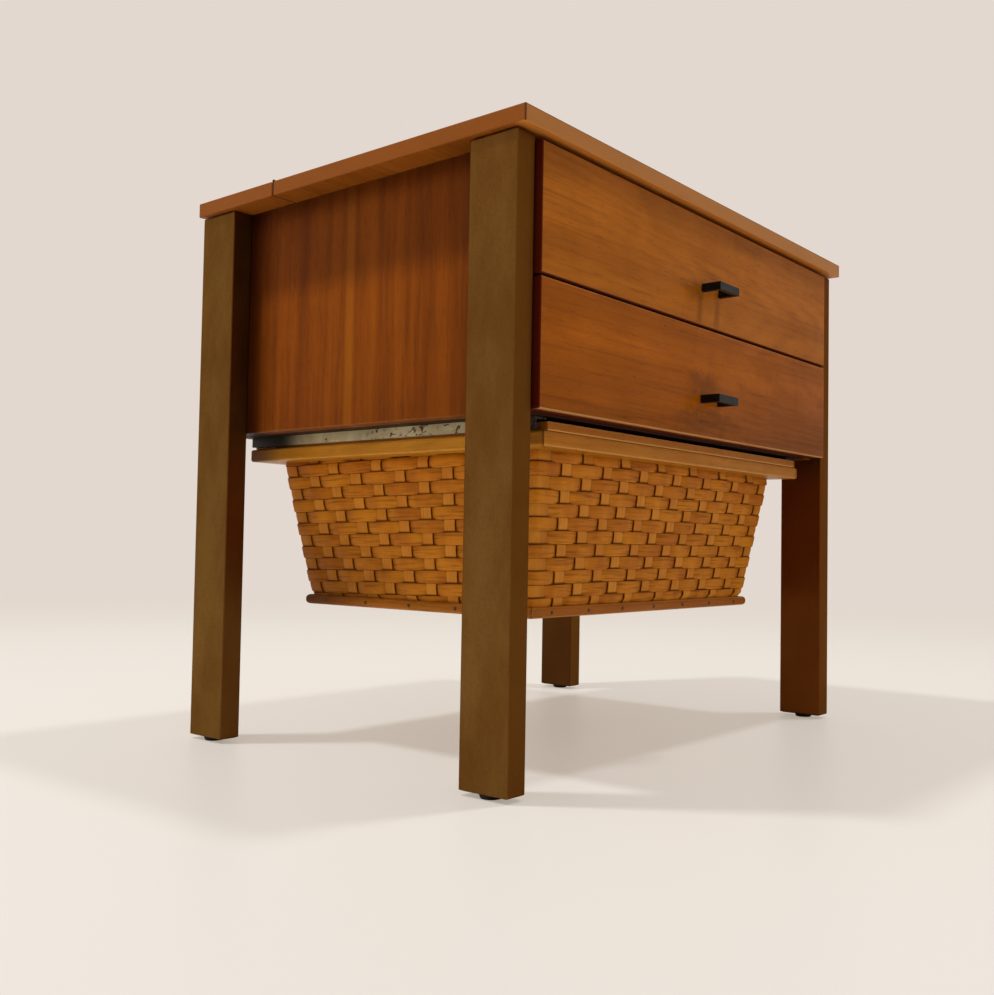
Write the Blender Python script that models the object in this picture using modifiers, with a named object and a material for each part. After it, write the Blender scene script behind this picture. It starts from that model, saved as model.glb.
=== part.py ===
"""Sewing cabinet on four metal legs.

Two drawers sit under a hinged top, and a woven basket on a wooden frame slides out below them.
Units are metres and +Z is up. The front faces -Y and the floor is at Z = 0. The origin lies on the
floor under the middle of the whole object, drawer pulls included.
"""

import math

import bmesh
import bpy
from mathutils import Matrix, Vector

# Fits and clearances
FIT = 0.0003                    # between pieces that touch
SLIDE_CLEARANCE = 0.0005        # between a drawer's groove and its slide strip
STOP_GAP = 0.0005               # between a closed drawer front and the carcase
RUNNER_SIDE_GAP = 0.0008        # between the basket frame and the web of its runner
FLANGE_TIP_GAP = 0.0005         # between the runner's flange and the bottom of the frame's groove

# Top
TOP_WIDTH = 0.600
TOP_DEPTH = 0.424
TOP_THICKNESS = 0.014
HEIGHT = 0.537                  # floor to the upper face of the top
REAR_STRIP_DEPTH = 0.1175       # back edge to the hinge line
TOP_ARRIS = 0.0008

# Hinge in the seam of the top
HINGE_LEAF = 0.0008
HINGE_LEAF_HEIGHT = 0.0115
HINGE_KNUCKLE_RADIUS = 0.0015
HINGE_BORE_RADIUS = 0.00095
HINGE_PIN_RADIUS = 0.0007
HINGE_AXIS_RISE = 0.0003        # axis above the top's face
HINGE_END_INSET = 0.0005
HINGE_KNUCKLES = 15
HINGE_CHAMFER = 0.0015          # relief on the board edges beside the knuckles

# Legs
LEG_WIDTH = 0.022
LEG_DEPTH = 0.050
LEG_WALL = 0.002
LEG_CORNER = 0.0012
LEG_SIDE_INSET = 0.004          # from the top's side edge
LEG_FRONT_INSET = 0.0105        # from the top's front edge
LEG_BACK_INSET = 0.003          # from the top's back edge
LEG_TOP_GAP = 0.0015            # shadow gap under the top
FOOT_HEIGHT = 0.004
FOOT_INSET = 0.0012
FOOT_PLUG_HEIGHT = 0.014
FOOT_CORNER = 0.0008

# Carcase
SIDE_THICKNESS = 0.016
BOTTOM_THICKNESS = 0.014
BACK_THICKNESS = 0.008
BACK_INSET = 0.007              # carcase back from the top's back edge
DIVIDER_THICKNESS = 0.016
DIVIDER_DEPTH = 0.060
PANEL_ARRIS = 0.0005

# Drawer fronts
FRONT_THICKNESS = 0.0175
FRONT_HEIGHT = 0.1053
FRONT_INSET = 0.0055            # front face behind the top's front edge
FRONT_TOP_GAP = 0.005
FRONT_GAP = 0.0028
FRONT_END_GAP = 0.0035          # to the legs
FRONT_RISE = 0.0016             # lower front's lower edge above the carcase's underside
FRONT_ARRIS = 0.0010

# Drawer boxes
DRAWER_SIDE_GAP = 0.004
DRAWER_WALL = 0.011
DRAWER_BOX_HEIGHT = 0.080
DRAWER_BOX_LIFT = 0.018         # box above the lower edge of its front
DRAWER_BACK_GAP = 0.014
DRAWER_BOTTOM_THICKNESS = 0.004
DRAWER_BOTTOM_LIFT = 0.008
BOTTOM_GROOVE_DEPTH = 0.005
SLIDE_STRIP_HEIGHT = 0.012
SLIDE_STRIP_BITE = 0.006        # depth of the strip inside the drawer side's groove
SLIDE_STRIP_LIFT = 0.034        # above the lower edge of the box
SLIDE_STRIP_FRONT_INSET = 0.008
SLIDE_STRIP_BACK_INSET = 0.006

# Pulls
PULL_WIDTH = 0.038
PULL_PROJECTION = 0.021
PULL_HEIGHT = 0.008
PULL_BAR = 0.005
PULL_RISE = 0.036               # centre above the lower edge of the drawer front
PULL_ARRIS = 0.0006

# Basket runners
RUNNER_SHEET = 0.0015
RUNNER_TOP_FLANGE = 0.015
RUNNER_FRONT_INSET = 0.0085     # behind the carcase's front edge
RUNNER_BACK_INSET = 0.012       # before the carcase's back edge

# Basket frame
RIM_SIDE_INSET = 0.0347         # frame's ends inside the side panels' outer faces
RIM_DEPTH = 0.385
RIM_FRONT_INSET = 0.0245        # frame's front behind the top's front edge
RIM_HEADROOM = 0.0037           # frame below the carcase's underside
CAP_THICKNESS = 0.0077
CAP_OVERHANG = 0.006            # cap strips past the inside of the weave
CAP_ARRIS = 0.0012
LIP_THICKNESS = 0.0042
LIP_REACH = 0.0055
RAIL_WIDTH = 0.022
RAIL_HEIGHT = 0.0127
RAIL_ARRIS = 0.0022

# Woven basket
BASKET_HEIGHT = 0.1664          # rim's upper face to the underside of the base strips
BASE_WIDTH = 0.383              # outside of the weave at its lower edge
BASE_DEPTH = 0.288
WEAVE_THICKNESS = 0.005
BASE_PANEL_THICKNESS = 0.005
BASE_PANEL_LIFT = 0.0012
BASE_STRIP_HEIGHT = 0.0098
BASE_STRIP_THICKNESS = 0.004
BASE_STRIP_ARRIS = 0.0038       # nearly the thickness, so the strips are round-faced mouldings

# Facets of round pieces
ROUND_SIDES = 16
ROUND_SEGMENTS = 4              # across a rounded edge of the basket's frame

# Places along Z, from the top down
TOP_UNDER_Z = HEIGHT - TOP_THICKNESS
PANEL_TOP_Z = TOP_UNDER_Z - FIT
LEG_TOP_Z = TOP_UNDER_Z - LEG_TOP_GAP
UPPER_FRONT_Z = TOP_UNDER_Z - FRONT_TOP_GAP - FRONT_HEIGHT
LOWER_FRONT_Z = UPPER_FRONT_Z - FRONT_GAP - FRONT_HEIGHT
CARCASE_Z = LOWER_FRONT_Z - FRONT_RISE
RIM_TOP_Z = CARCASE_Z - RIM_HEADROOM
CAP_Z = RIM_TOP_Z - CAP_THICKNESS
RAIL_TOP_Z = CAP_Z - FIT
RAIL_Z = RAIL_TOP_Z - RAIL_HEIGHT
LIP_Z = RIM_TOP_Z - LIP_THICKNESS
BASE_Z = RIM_TOP_Z - BASKET_HEIGHT
WEAVE_Z = BASE_Z + FIT
BASE_STRIP_TOP_Z = BASE_Z + BASE_STRIP_HEIGHT
HINGE_Z = HEIGHT + HINGE_AXIS_RISE

# Places along Y: the whole object, pulls included, is centred on the origin
PULL_REACH = PULL_PROJECTION - FRONT_INSET
TOP_BACK_Y = (TOP_DEPTH + PULL_REACH) / 2
TOP_FRONT_Y = TOP_BACK_Y - TOP_DEPTH
SEAM_Y = TOP_BACK_Y - REAR_STRIP_DEPTH
SEAM_HALF = FIT / 2 + HINGE_LEAF + FIT
FRONT_FACE_Y = TOP_FRONT_Y + FRONT_INSET
FRONT_BACK_Y = FRONT_FACE_Y + FRONT_THICKNESS
CARCASE_FRONT_Y = FRONT_BACK_Y + STOP_GAP
CARCASE_BACK_Y = TOP_BACK_Y - BACK_INSET
BACK_PANEL_Y = CARCASE_BACK_Y - BACK_THICKNESS
DRAWER_BACK_Y = BACK_PANEL_Y - DRAWER_BACK_GAP
RIM_FRONT_Y = TOP_FRONT_Y + RIM_FRONT_INSET
BASKET_Y = RIM_FRONT_Y + RIM_DEPTH / 2

# Places along X, as distances from the middle plane
LEG_OUTER_X = TOP_WIDTH / 2 - LEG_SIDE_INSET
LEG_INNER_X = LEG_OUTER_X - LEG_WIDTH
SIDE_OUTER_X = LEG_INNER_X - FIT
SIDE_INNER_X = SIDE_OUTER_X - SIDE_THICKNESS
FRONT_HALF_X = LEG_INNER_X - FRONT_END_GAP
DRAWER_HALF_X = SIDE_INNER_X - DRAWER_SIDE_GAP
DRAWER_INNER_X = DRAWER_HALF_X - DRAWER_WALL
RIM_HALF_X = SIDE_OUTER_X - RIM_SIDE_INSET
CAP_HALF_X = RIM_HALF_X - LIP_REACH
WEB_INNER_X = RIM_HALF_X + RUNNER_SIDE_GAP
WEB_OUTER_X = WEB_INNER_X + RUNNER_SHEET
FLANGE_TIP_X = CAP_HALF_X + FLANGE_TIP_GAP

# Weave: half sizes of its outside at the upper edge and at the lower edge
WEAVE_TOP_HALF = Vector((RIM_HALF_X - RAIL_WIDTH - FIT, RIM_DEPTH / 2 - RAIL_WIDTH - FIT))
WEAVE_BASE_HALF = Vector((BASE_WIDTH / 2, BASE_DEPTH / 2))

SIDES = {"left": -1, "right": 1}
ENDS = {"front": -1, "back": 1}


def clear_scene():
    for item in list(bpy.data.objects):
        bpy.data.objects.remove(item, do_unlink=True)


def new_collection(name):
    collection = bpy.data.collections.new(name)
    bpy.context.scene.collection.children.link(collection)
    return collection


def new_material(name, colour, roughness, metallic=0.0):
    material = bpy.data.materials.new(name)
    material.use_nodes = True
    shader = material.node_tree.nodes["Principled BSDF"]
    shader.inputs["Base Color"].default_value = (*colour, 1.0)
    shader.inputs["Roughness"].default_value = roughness
    shader.inputs["Metallic"].default_value = metallic
    return material


clear_scene()
PARTS = new_collection("sewing_cabinet")
CUTTERS = new_collection("cutters")

WALNUT = new_material("walnut_veneer", (0.24, 0.085, 0.022), 0.42)
WALNUT_DARK = new_material("walnut_side", (0.13, 0.038, 0.010), 0.45)
PALE_WOOD = new_material("pale_wood", (0.50, 0.32, 0.15), 0.60)
RIM_WOOD = new_material("rim_wood", (0.38, 0.16, 0.030), 0.50)
WEAVE = new_material("chip_weave", (0.42, 0.19, 0.035), 0.60)
BRONZE = new_material("bronze_lacquer", (0.13, 0.075, 0.020), 0.38, 0.6)
ZINC = new_material("zinc_sheet", (0.40, 0.36, 0.26), 0.40, 1.0)
BRASS = new_material("dull_brass", (0.30, 0.20, 0.07), 0.40, 1.0)
BLACK = new_material("black_lacquer", (0.008, 0.008, 0.007), 0.35)
FOOT_PLASTIC = new_material("foot_plastic", (0.010, 0.009, 0.008), 0.60)


def body_empty(name, place=(0, 0, 0), parent=None):
    """An empty that carries the pieces of one moving body, on that body's joint axis."""
    empty = bpy.data.objects.new(name, None)
    empty.empty_display_size = 0.05
    empty.location = place
    empty.parent = parent
    PARTS.objects.link(empty)
    return empty


def mesh_from(bm, name):
    bmesh.ops.recalc_face_normals(bm, faces=bm.faces)
    mesh = bpy.data.meshes.new(name)
    bm.to_mesh(mesh)
    bm.free()
    return mesh


def place_piece(name, mesh, material, body, centre):
    """Link a piece under its body's empty; the centre is given in world coordinates."""
    piece = bpy.data.objects.new(name, mesh)
    piece.data.materials.append(material)
    piece.parent = body
    piece.location = Vector(centre) - body.location
    PARTS.objects.link(piece)
    return piece


def round_edges(piece, width, segments=2):
    bevel = piece.modifiers.new("rounded_edges", "BEVEL")
    bevel.width = width
    bevel.segments = segments
    bevel.limit_method = "ANGLE"
    bevel.angle_limit = math.radians(40)


def block_mesh(size, name):
    bm = bmesh.new()
    bmesh.ops.create_cube(bm, size=1.0)
    bmesh.ops.scale(bm, vec=size, verts=bm.verts)
    return mesh_from(bm, name)


def board(name, low, high, material, body, arris=0.0):
    """A rectangular board between two corners, with softened edges where it has an arris."""
    low = Vector(low)
    high = Vector(high)
    piece = place_piece(name, block_mesh(high - low, name), material, body, (low + high) / 2)
    if arris:
        round_edges(piece, arris)
    return piece


def mirrored(low, high, side):
    """Corners of a box that is given for the right-hand side, moved to the side asked for."""
    xs = sorted((side * low[0], side * high[0]))
    return (xs[0], low[1], low[2]), (xs[1], high[1], high[2])


def cut(piece, mesh, operation="DIFFERENCE"):
    """Cut a mesh in world coordinates out of a piece, or join it on."""
    tool = bpy.data.objects.new(piece.name + "_" + mesh.name, mesh)
    tool.hide_render = True
    tool.display_type = "WIRE"
    CUTTERS.objects.link(tool)
    boolean = piece.modifiers.new(mesh.name, "BOOLEAN")
    boolean.operation = operation
    boolean.solver = "EXACT"
    boolean.object = tool


def boxes(name, corner_pairs):
    """One mesh of separate boxes, each between two world corners."""
    bm = bmesh.new()
    for low, high in corner_pairs:
        low = Vector(low)
        high = Vector(high)
        made = bmesh.ops.create_cube(bm, size=1.0)
        size = Matrix.Diagonal((*(high - low), 1.0))
        bmesh.ops.transform(bm, matrix=Matrix.Translation((low + high) / 2) @ size, verts=made["verts"])
    return mesh_from(bm, name)


def rods(name, spans, radius, sides):
    """One mesh of separate straight rods, each between two world points."""
    bm = bmesh.new()
    for start, end in spans:
        start = Vector(start)
        run = Vector(end) - start
        turn = run.to_track_quat("Z", "Y").to_matrix().to_4x4()
        made = bmesh.ops.create_cone(bm, cap_ends=True, segments=sides, radius1=radius, radius2=radius,
                                     depth=run.length)
        bmesh.ops.transform(bm, matrix=Matrix.Translation(start + run / 2) @ turn, verts=made["verts"])
    return mesh_from(bm, name)


def outline_piece(name, points, thickness, turn, centre, material, body):
    """A flat outline with a thickness, turned about its centre and set in place."""
    curve = bpy.data.curves.new(name, "CURVE")
    curve.dimensions = "2D"
    curve.fill_mode = "BOTH"
    curve.extrude = thickness / 2
    spline = curve.splines.new("POLY")
    spline.points.add(len(points) - 1)
    for point, (x, y) in zip(spline.points, points):
        point.co = (x, y, 0, 1)
    spline.use_cyclic_u = True
    flat = bpy.data.objects.new(name + "_outline", curve)
    PARTS.objects.link(flat)
    graph = bpy.context.evaluated_depsgraph_get()
    mesh = bpy.data.meshes.new_from_object(flat.evaluated_get(graph))
    bpy.data.objects.remove(flat, do_unlink=True)
    bm = bmesh.new()
    bm.from_mesh(mesh)
    bpy.data.meshes.remove(mesh)
    bmesh.ops.remove_doubles(bm, verts=bm.verts, dist=0.00001)
    bmesh.ops.dissolve_limit(bm, angle_limit=math.radians(1), verts=bm.verts, edges=bm.edges)
    bmesh.ops.transform(bm, matrix=turn, verts=bm.verts)
    return place_piece(name, mesh_from(bm, name), material, body, centre)


def length_piece(name, section, low_y, high_y, material, body):
    """A piece of one X-Z section that runs from front to back."""
    stand = Matrix.Rotation(math.radians(90), 4, "X")
    centre = (0, (low_y + high_y) / 2, 0)
    return outline_piece(name, section, high_y - low_y, stand, centre, material, body)


def build_top(cabinet, lid_body):
    half = TOP_WIDTH / 2
    strip = board("top_rear_strip", (-half, SEAM_Y + SEAM_HALF, TOP_UNDER_Z), (half, TOP_BACK_Y, HEIGHT),
                  WALNUT, cabinet, TOP_ARRIS)
    lid = board("lid", (-half, TOP_FRONT_Y, TOP_UNDER_Z), (half, SEAM_Y - SEAM_HALF, HEIGHT),
                WALNUT, lid_body, TOP_ARRIS)
    for piece, side in ((strip, 1), (lid, -1)):
        cut(piece, hinge_relief(side))


def hinge_relief(side):
    """A long prism that chamfers the upper edge of a top board beside the hinge knuckles."""
    reach = HINGE_CHAMFER * math.sqrt(2)
    bm = bmesh.new()
    bmesh.ops.create_cube(bm, size=1.0)
    bmesh.ops.scale(bm, vec=(TOP_WIDTH * 1.1, reach, reach), verts=bm.verts)
    turn = Matrix.Rotation(math.radians(45), 4, "X")
    edge = Matrix.Translation((0, SEAM_Y + side * SEAM_HALF, HEIGHT))
    bmesh.ops.transform(bm, matrix=edge @ turn, verts=bm.verts)
    return mesh_from(bm, "hinge_relief")


def knuckle_spans():
    """Start and end along X of each hinge knuckle, with running gaps between them."""
    length = TOP_WIDTH - 2 * HINGE_END_INSET
    pitch = length / HINGE_KNUCKLES
    start = -length / 2
    return [(start + i * pitch + FIT / 2, start + (i + 1) * pitch - FIT / 2) for i in range(HINGE_KNUCKLES)]


def hinge_leaf(name, side, first, body):
    """One leaf of the hinge, standing in the seam, with its own knuckles round the pin."""
    spans = knuckle_spans()
    own = spans[first::2]
    other = spans[1 - first::2]
    half = TOP_WIDTH / 2 - HINGE_END_INSET
    near = SEAM_Y + side * FIT / 2
    far = near + side * HINGE_LEAF
    low_y, high_y = sorted((near, far))
    leaf = board(name, (-half, low_y, HEIGHT - HINGE_LEAF_HEIGHT), (half, high_y, HINGE_Z), BRASS, body)
    swing = HINGE_KNUCKLE_RADIUS + FIT
    gaps = [((a - FIT, SEAM_Y - swing, HINGE_Z - swing), (b + FIT, SEAM_Y + swing, HINGE_Z + swing))
            for a, b in other]
    cut(leaf, boxes("knuckle_gaps", gaps))
    barrels = [((a, SEAM_Y, HINGE_Z), (b, SEAM_Y, HINGE_Z)) for a, b in own]
    cut(leaf, rods("knuckles", barrels, HINGE_KNUCKLE_RADIUS, ROUND_SIDES), "UNION")
    bore = [((-TOP_WIDTH, SEAM_Y, HINGE_Z), (TOP_WIDTH, SEAM_Y, HINGE_Z))]
    cut(leaf, rods("pin_bore", bore, HINGE_BORE_RADIUS, ROUND_SIDES))


def build_hinge(cabinet, lid_body):
    hinge_leaf("hinge_leaf_strip", 1, 0, cabinet)
    hinge_leaf("hinge_leaf_lid", -1, 1, lid_body)
    half = TOP_WIDTH / 2 - HINGE_END_INSET
    pin = rods("hinge_pin", [((-half, 0, 0), (half, 0, 0))], HINGE_PIN_RADIUS, ROUND_SIDES)
    place_piece("hinge_pin", pin, BRASS, cabinet, (0, SEAM_Y, HINGE_Z))


def leg_tube(name, side, low_y, cabinet):
    """A rectangular tube, closed at the top and open at the foot."""
    low, high = mirrored((LEG_INNER_X, low_y, FOOT_HEIGHT), (LEG_OUTER_X, low_y + LEG_DEPTH, LEG_TOP_Z), side)
    leg = board(name, low, high, BRONZE, cabinet, LEG_CORNER)
    wall = Vector((LEG_WALL, LEG_WALL, LEG_WALL))
    bore_low = Vector(low) + wall
    bore_low.z = 0
    cut(leg, boxes("bore", [(bore_low, Vector(high) - wall)]))


def foot(name, side, low_y, cabinet):
    """A plastic foot: a flange under the tube's end, with a plug up inside the tube."""
    bm = bmesh.new()
    bmesh.ops.create_cube(bm, size=1.0)
    pad = (LEG_WIDTH - 2 * FOOT_INSET, LEG_DEPTH - 2 * FOOT_INSET, FOOT_HEIGHT - FIT)
    bmesh.ops.scale(bm, vec=pad, verts=bm.verts)
    upper = [face for face in bm.faces if face.normal.z > 0.5]
    bmesh.ops.inset_region(bm, faces=upper, thickness=LEG_WALL + FIT - FOOT_INSET, use_even_offset=True)
    grown = bmesh.ops.extrude_face_region(bm, geom=upper)
    plug = [item for item in grown["geom"] if isinstance(item, bmesh.types.BMVert)]
    bmesh.ops.delete(bm, geom=upper, context="FACES_ONLY")
    bmesh.ops.translate(bm, vec=(0, 0, FOOT_PLUG_HEIGHT), verts=plug)
    centre = (side * (LEG_OUTER_X - LEG_WIDTH / 2), low_y + LEG_DEPTH / 2, pad[2] / 2)
    piece = place_piece(name, mesh_from(bm, name), FOOT_PLASTIC, cabinet, centre)
    round_edges(piece, FOOT_CORNER, 1)


def build_legs(cabinet):
    low_ys = {"front": TOP_FRONT_Y + LEG_FRONT_INSET, "back": TOP_BACK_Y - LEG_BACK_INSET - LEG_DEPTH}
    for end, low_y in low_ys.items():
        for word, side in SIDES.items():
            leg_tube(f"leg_{end}_{word}", side, low_y, cabinet)
            foot(f"foot_{end}_{word}", side, low_y, cabinet)


def build_carcase(cabinet):
    for word, side in SIDES.items():
        low, high = mirrored((SIDE_INNER_X, CARCASE_FRONT_Y, CARCASE_Z),
                             (SIDE_OUTER_X, CARCASE_BACK_Y, PANEL_TOP_Z), side)
        board(f"side_panel_{word}", low, high, WALNUT_DARK, cabinet, PANEL_ARRIS)
    inside = SIDE_INNER_X - FIT
    board("back_panel", (-inside, BACK_PANEL_Y, CARCASE_Z), (inside, CARCASE_BACK_Y, PANEL_TOP_Z),
          WALNUT_DARK, cabinet, PANEL_ARRIS)
    board("bottom_board", (-inside, CARCASE_FRONT_Y, CARCASE_Z),
          (inside, BACK_PANEL_Y - FIT, CARCASE_Z + BOTTOM_THICKNESS), PALE_WOOD, cabinet, PANEL_ARRIS)
    box_gap_middle = (LOWER_FRONT_Z + UPPER_FRONT_Z) / 2 + DRAWER_BOX_LIFT + DRAWER_BOX_HEIGHT / 2
    board("drawer_divider", (-inside, CARCASE_FRONT_Y, box_gap_middle - DIVIDER_THICKNESS / 2),
          (inside, CARCASE_FRONT_Y + DIVIDER_DEPTH, box_gap_middle + DIVIDER_THICKNESS / 2),
          PALE_WOOD, cabinet, PANEL_ARRIS)


def build_basket_runners(cabinet):
    """Channels of folded sheet under the carcase; the basket frame's lips run on their lower flanges."""
    top = CARCASE_Z - FIT
    bottom = LIP_Z - FIT - RUNNER_SHEET
    tip = WEB_OUTER_X - RUNNER_TOP_FLANGE
    section = [(tip, top), (tip, top - RUNNER_SHEET), (WEB_INNER_X, top - RUNNER_SHEET),
               (WEB_INNER_X, bottom + RUNNER_SHEET), (FLANGE_TIP_X, bottom + RUNNER_SHEET),
               (FLANGE_TIP_X, bottom), (WEB_OUTER_X, bottom), (WEB_OUTER_X, top)]
    for word, side in SIDES.items():
        length_piece(f"basket_runner_{word}", [(side * x, z) for x, z in section],
                     CARCASE_FRONT_Y + RUNNER_FRONT_INSET, CARCASE_BACK_Y - RUNNER_BACK_INSET, ZINC, cabinet)


def drawer_pull(name, front_z, body):
    """A bow of flat bar with a finger gap behind it."""
    half = PULL_WIDTH / 2
    inner = half - PULL_BAR
    reach = PULL_PROJECTION - FIT
    points = [(-half, 0), (-half, -reach), (half, -reach), (half, 0),
              (inner, 0), (inner, -(reach - PULL_BAR)), (-inner, -(reach - PULL_BAR)), (-inner, 0)]
    centre = (0, FRONT_FACE_Y - FIT, front_z + PULL_RISE)
    pull = outline_piece(name, points, PULL_HEIGHT, Matrix.Identity(4), centre, BLACK, body)
    round_edges(pull, PULL_ARRIS)


def build_drawer(prefix, front_z, cabinet):
    """One drawer: front, two grooved sides, back, bottom and pull, on strips inside the carcase."""
    body = body_empty(prefix, (0, FRONT_FACE_Y, front_z + FRONT_HEIGHT / 2), cabinet)
    box_z = front_z + DRAWER_BOX_LIFT
    box_top = box_z + DRAWER_BOX_HEIGHT
    floor_z = box_z + DRAWER_BOTTOM_LIFT
    floor_top = floor_z + DRAWER_BOTTOM_THICKNESS
    floor_half = DRAWER_INNER_X + BOTTOM_GROOVE_DEPTH - FIT
    floor_front = FRONT_BACK_Y - BOTTOM_GROOVE_DEPTH + FIT

    front = board(f"{prefix}_front", (-FRONT_HALF_X, FRONT_FACE_Y, front_z),
                  (FRONT_HALF_X, FRONT_BACK_Y, front_z + FRONT_HEIGHT), WALNUT, body, FRONT_ARRIS)
    floor_room = boxes("bottom_groove", [((-floor_half - FIT, floor_front - FIT, floor_z - FIT),
                                          (floor_half + FIT, DRAWER_BACK_Y + FIT, floor_top + FIT))])
    cut(front, floor_room)

    strip_z = box_z + SLIDE_STRIP_LIFT
    strip_top = strip_z + SLIDE_STRIP_HEIGHT
    strip_inner = DRAWER_HALF_X - SLIDE_STRIP_BITE
    strip_front = CARCASE_FRONT_Y + SLIDE_STRIP_FRONT_INSET
    strip_back = BACK_PANEL_Y - SLIDE_STRIP_BACK_INSET
    for word, side in SIDES.items():
        low, high = mirrored((DRAWER_INNER_X, FRONT_BACK_Y + FIT, box_z),
                             (DRAWER_HALF_X, DRAWER_BACK_Y, box_top), side)
        wall = board(f"{prefix}_side_{word}", low, high, PALE_WOOD, body, PANEL_ARRIS)
        cut(wall, floor_room)
        low, high = mirrored((strip_inner - SLIDE_CLEARANCE, FRONT_FACE_Y, strip_z - SLIDE_CLEARANCE),
                             (SIDE_INNER_X, CARCASE_BACK_Y, strip_top + SLIDE_CLEARANCE), side)
        cut(wall, boxes("slide_groove", [(low, high)]))
        low, high = mirrored((strip_inner, strip_front, strip_z),
                             (SIDE_INNER_X - FIT, strip_back, strip_top), side)
        board(f"{prefix}_slide_strip_{word}", low, high, PALE_WOOD, cabinet, PANEL_ARRIS)

    inner = DRAWER_INNER_X - FIT
    board(f"{prefix}_back", (-inner, DRAWER_BACK_Y - DRAWER_WALL, floor_top + FIT),
          (inner, DRAWER_BACK_Y, box_top), PALE_WOOD, body, PANEL_ARRIS)
    board(f"{prefix}_bottom", (-floor_half, floor_front, floor_z), (floor_half, DRAWER_BACK_Y, floor_top),
          PALE_WOOD, body)
    drawer_pull(f"{prefix}_pull", front_z, body)


def weave_half(z, inset=0.0):
    """Half sizes of the weave's outside at a height, less an inset."""
    share = (z - WEAVE_Z) / (RAIL_TOP_Z - WEAVE_Z)
    return WEAVE_BASE_HALF.lerp(WEAVE_TOP_HALF, share) - Vector((inset, inset))


def mitred_stick(name, along, side, levels, outer_at, inner_at, material, body, arris=0.0):
    """One stick of a four-sided frame with mitred corners.

    It runs along axis 0 or 1, on the negative or positive side of the basket, between two levels.
    outer_at and inner_at give the frame's half sizes at a level, so a stick may lean. The arris rounds
    its two outer edges.
    """
    bm = bmesh.new()
    bmesh.ops.create_cube(bm, size=2.0)
    across = 1 - along
    long_edges = [edge for edge in bm.edges if edge.verts[0].co[along] != edge.verts[1].co[along]]
    outer_edges = [edge for edge in long_edges if edge.verts[0].co[across] * side > 0]
    for vert in bm.verts:
        z = levels[0] if vert.co.z < 0 else levels[1]
        half = outer_at(z) if vert.co[across] * side > 0 else inner_at(z)
        place = Vector((0, 0, z))
        place[across] = side * half[across]
        place[along] = math.copysign(half[along] - FIT, vert.co[along])
        vert.co = place
    if arris:
        bmesh.ops.bevel(bm, geom=outer_edges, offset=arris, segments=ROUND_SEGMENTS, profile=0.5,
                        affect="EDGES", material=-1)
    place_piece(name, mesh_from(bm, name), material, body, (0, BASKET_Y, 0))


def frame_sides():
    """Names and directions of a frame's four sides: (word, axis it runs along, side)."""
    along_x = [(word, 0, side) for word, side in ENDS.items()]
    along_y = [(word, 1, side) for word, side in SIDES.items()]
    return along_x + along_y


def build_basket_frame(basket):
    """Four mitred rails round the weave, and four cap strips over its upper edge."""
    outer = Vector((RIM_HALF_X, RIM_DEPTH / 2))
    inner = outer - Vector((RAIL_WIDTH, RAIL_WIDTH))
    for word, along, side in frame_sides():
        mitred_stick(f"basket_rail_{word}", along, side, (RAIL_Z, RAIL_TOP_Z),
                     lambda z: outer, lambda z: inner, RIM_WOOD, basket, RAIL_ARRIS)
    mouth = weave_half(RAIL_TOP_Z, WEAVE_THICKNESS + CAP_OVERHANG)
    for word, side in ENDS.items():
        low_y, high_y = sorted((BASKET_Y + side * mouth.y, BASKET_Y + side * RIM_DEPTH / 2))
        board(f"basket_cap_{word}", (-CAP_HALF_X, low_y, CAP_Z), (CAP_HALF_X, high_y, RIM_TOP_Z),
              RIM_WOOD, basket, CAP_ARRIS)
    section = [(mouth.x, CAP_Z), (CAP_HALF_X, CAP_Z), (CAP_HALF_X, LIP_Z), (RIM_HALF_X, LIP_Z),
               (RIM_HALF_X, RIM_TOP_Z), (mouth.x, RIM_TOP_Z)]
    for word, side in SIDES.items():
        length_piece(f"basket_cap_{word}", [(side * x, z) for x, z in section],
                     BASKET_Y - mouth.y + FIT, BASKET_Y + mouth.y - FIT, RIM_WOOD, basket)


def build_weave(basket):
    """Four leaning walls with the outer shape of the woven chip strips."""
    for word, along, side in frame_sides():
        mitred_stick(f"basket_wall_{word}", along, side, (WEAVE_Z, RAIL_TOP_Z), weave_half,
                     lambda z: weave_half(z, WEAVE_THICKNESS), WEAVE, basket)


def build_basket_base(basket):
    """The flat bottom inside the weave, and four strips nailed round its foot."""
    panel_z = BASE_Z + BASE_PANEL_LIFT
    half = weave_half(panel_z, WEAVE_THICKNESS + FIT)
    board("basket_bottom", (-half.x, BASKET_Y - half.y, panel_z),
          (half.x, BASKET_Y + half.y, panel_z + BASE_PANEL_THICKNESS), PALE_WOOD, basket)
    inner = weave_half(BASE_STRIP_TOP_Z, -FIT)
    outer = inner + Vector((BASE_STRIP_THICKNESS, BASE_STRIP_THICKNESS))
    for word, along, side in frame_sides():
        mitred_stick(f"basket_base_strip_{word}", along, side, (BASE_Z, BASE_STRIP_TOP_Z),
                     lambda z: outer, lambda z: inner, RIM_WOOD, basket, BASE_STRIP_ARRIS)


def build_basket(cabinet):
    basket = body_empty("basket", (0, RIM_FRONT_Y, RIM_TOP_Z), cabinet)
    build_basket_frame(basket)
    build_weave(basket)
    build_basket_base(basket)


def main():
    cabinet = body_empty("cabinet")
    lid_body = body_empty("lid_hinge", (0, SEAM_Y, HINGE_Z), cabinet)
    build_top(cabinet, lid_body)
    build_hinge(cabinet, lid_body)
    build_legs(cabinet)
    build_carcase(cabinet)
    build_basket_runners(cabinet)
    build_drawer("upper_drawer", UPPER_FRONT_Z, cabinet)
    build_drawer("lower_drawer", LOWER_FRONT_Z, cabinet)
    build_basket(cabinet)


main()
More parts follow.
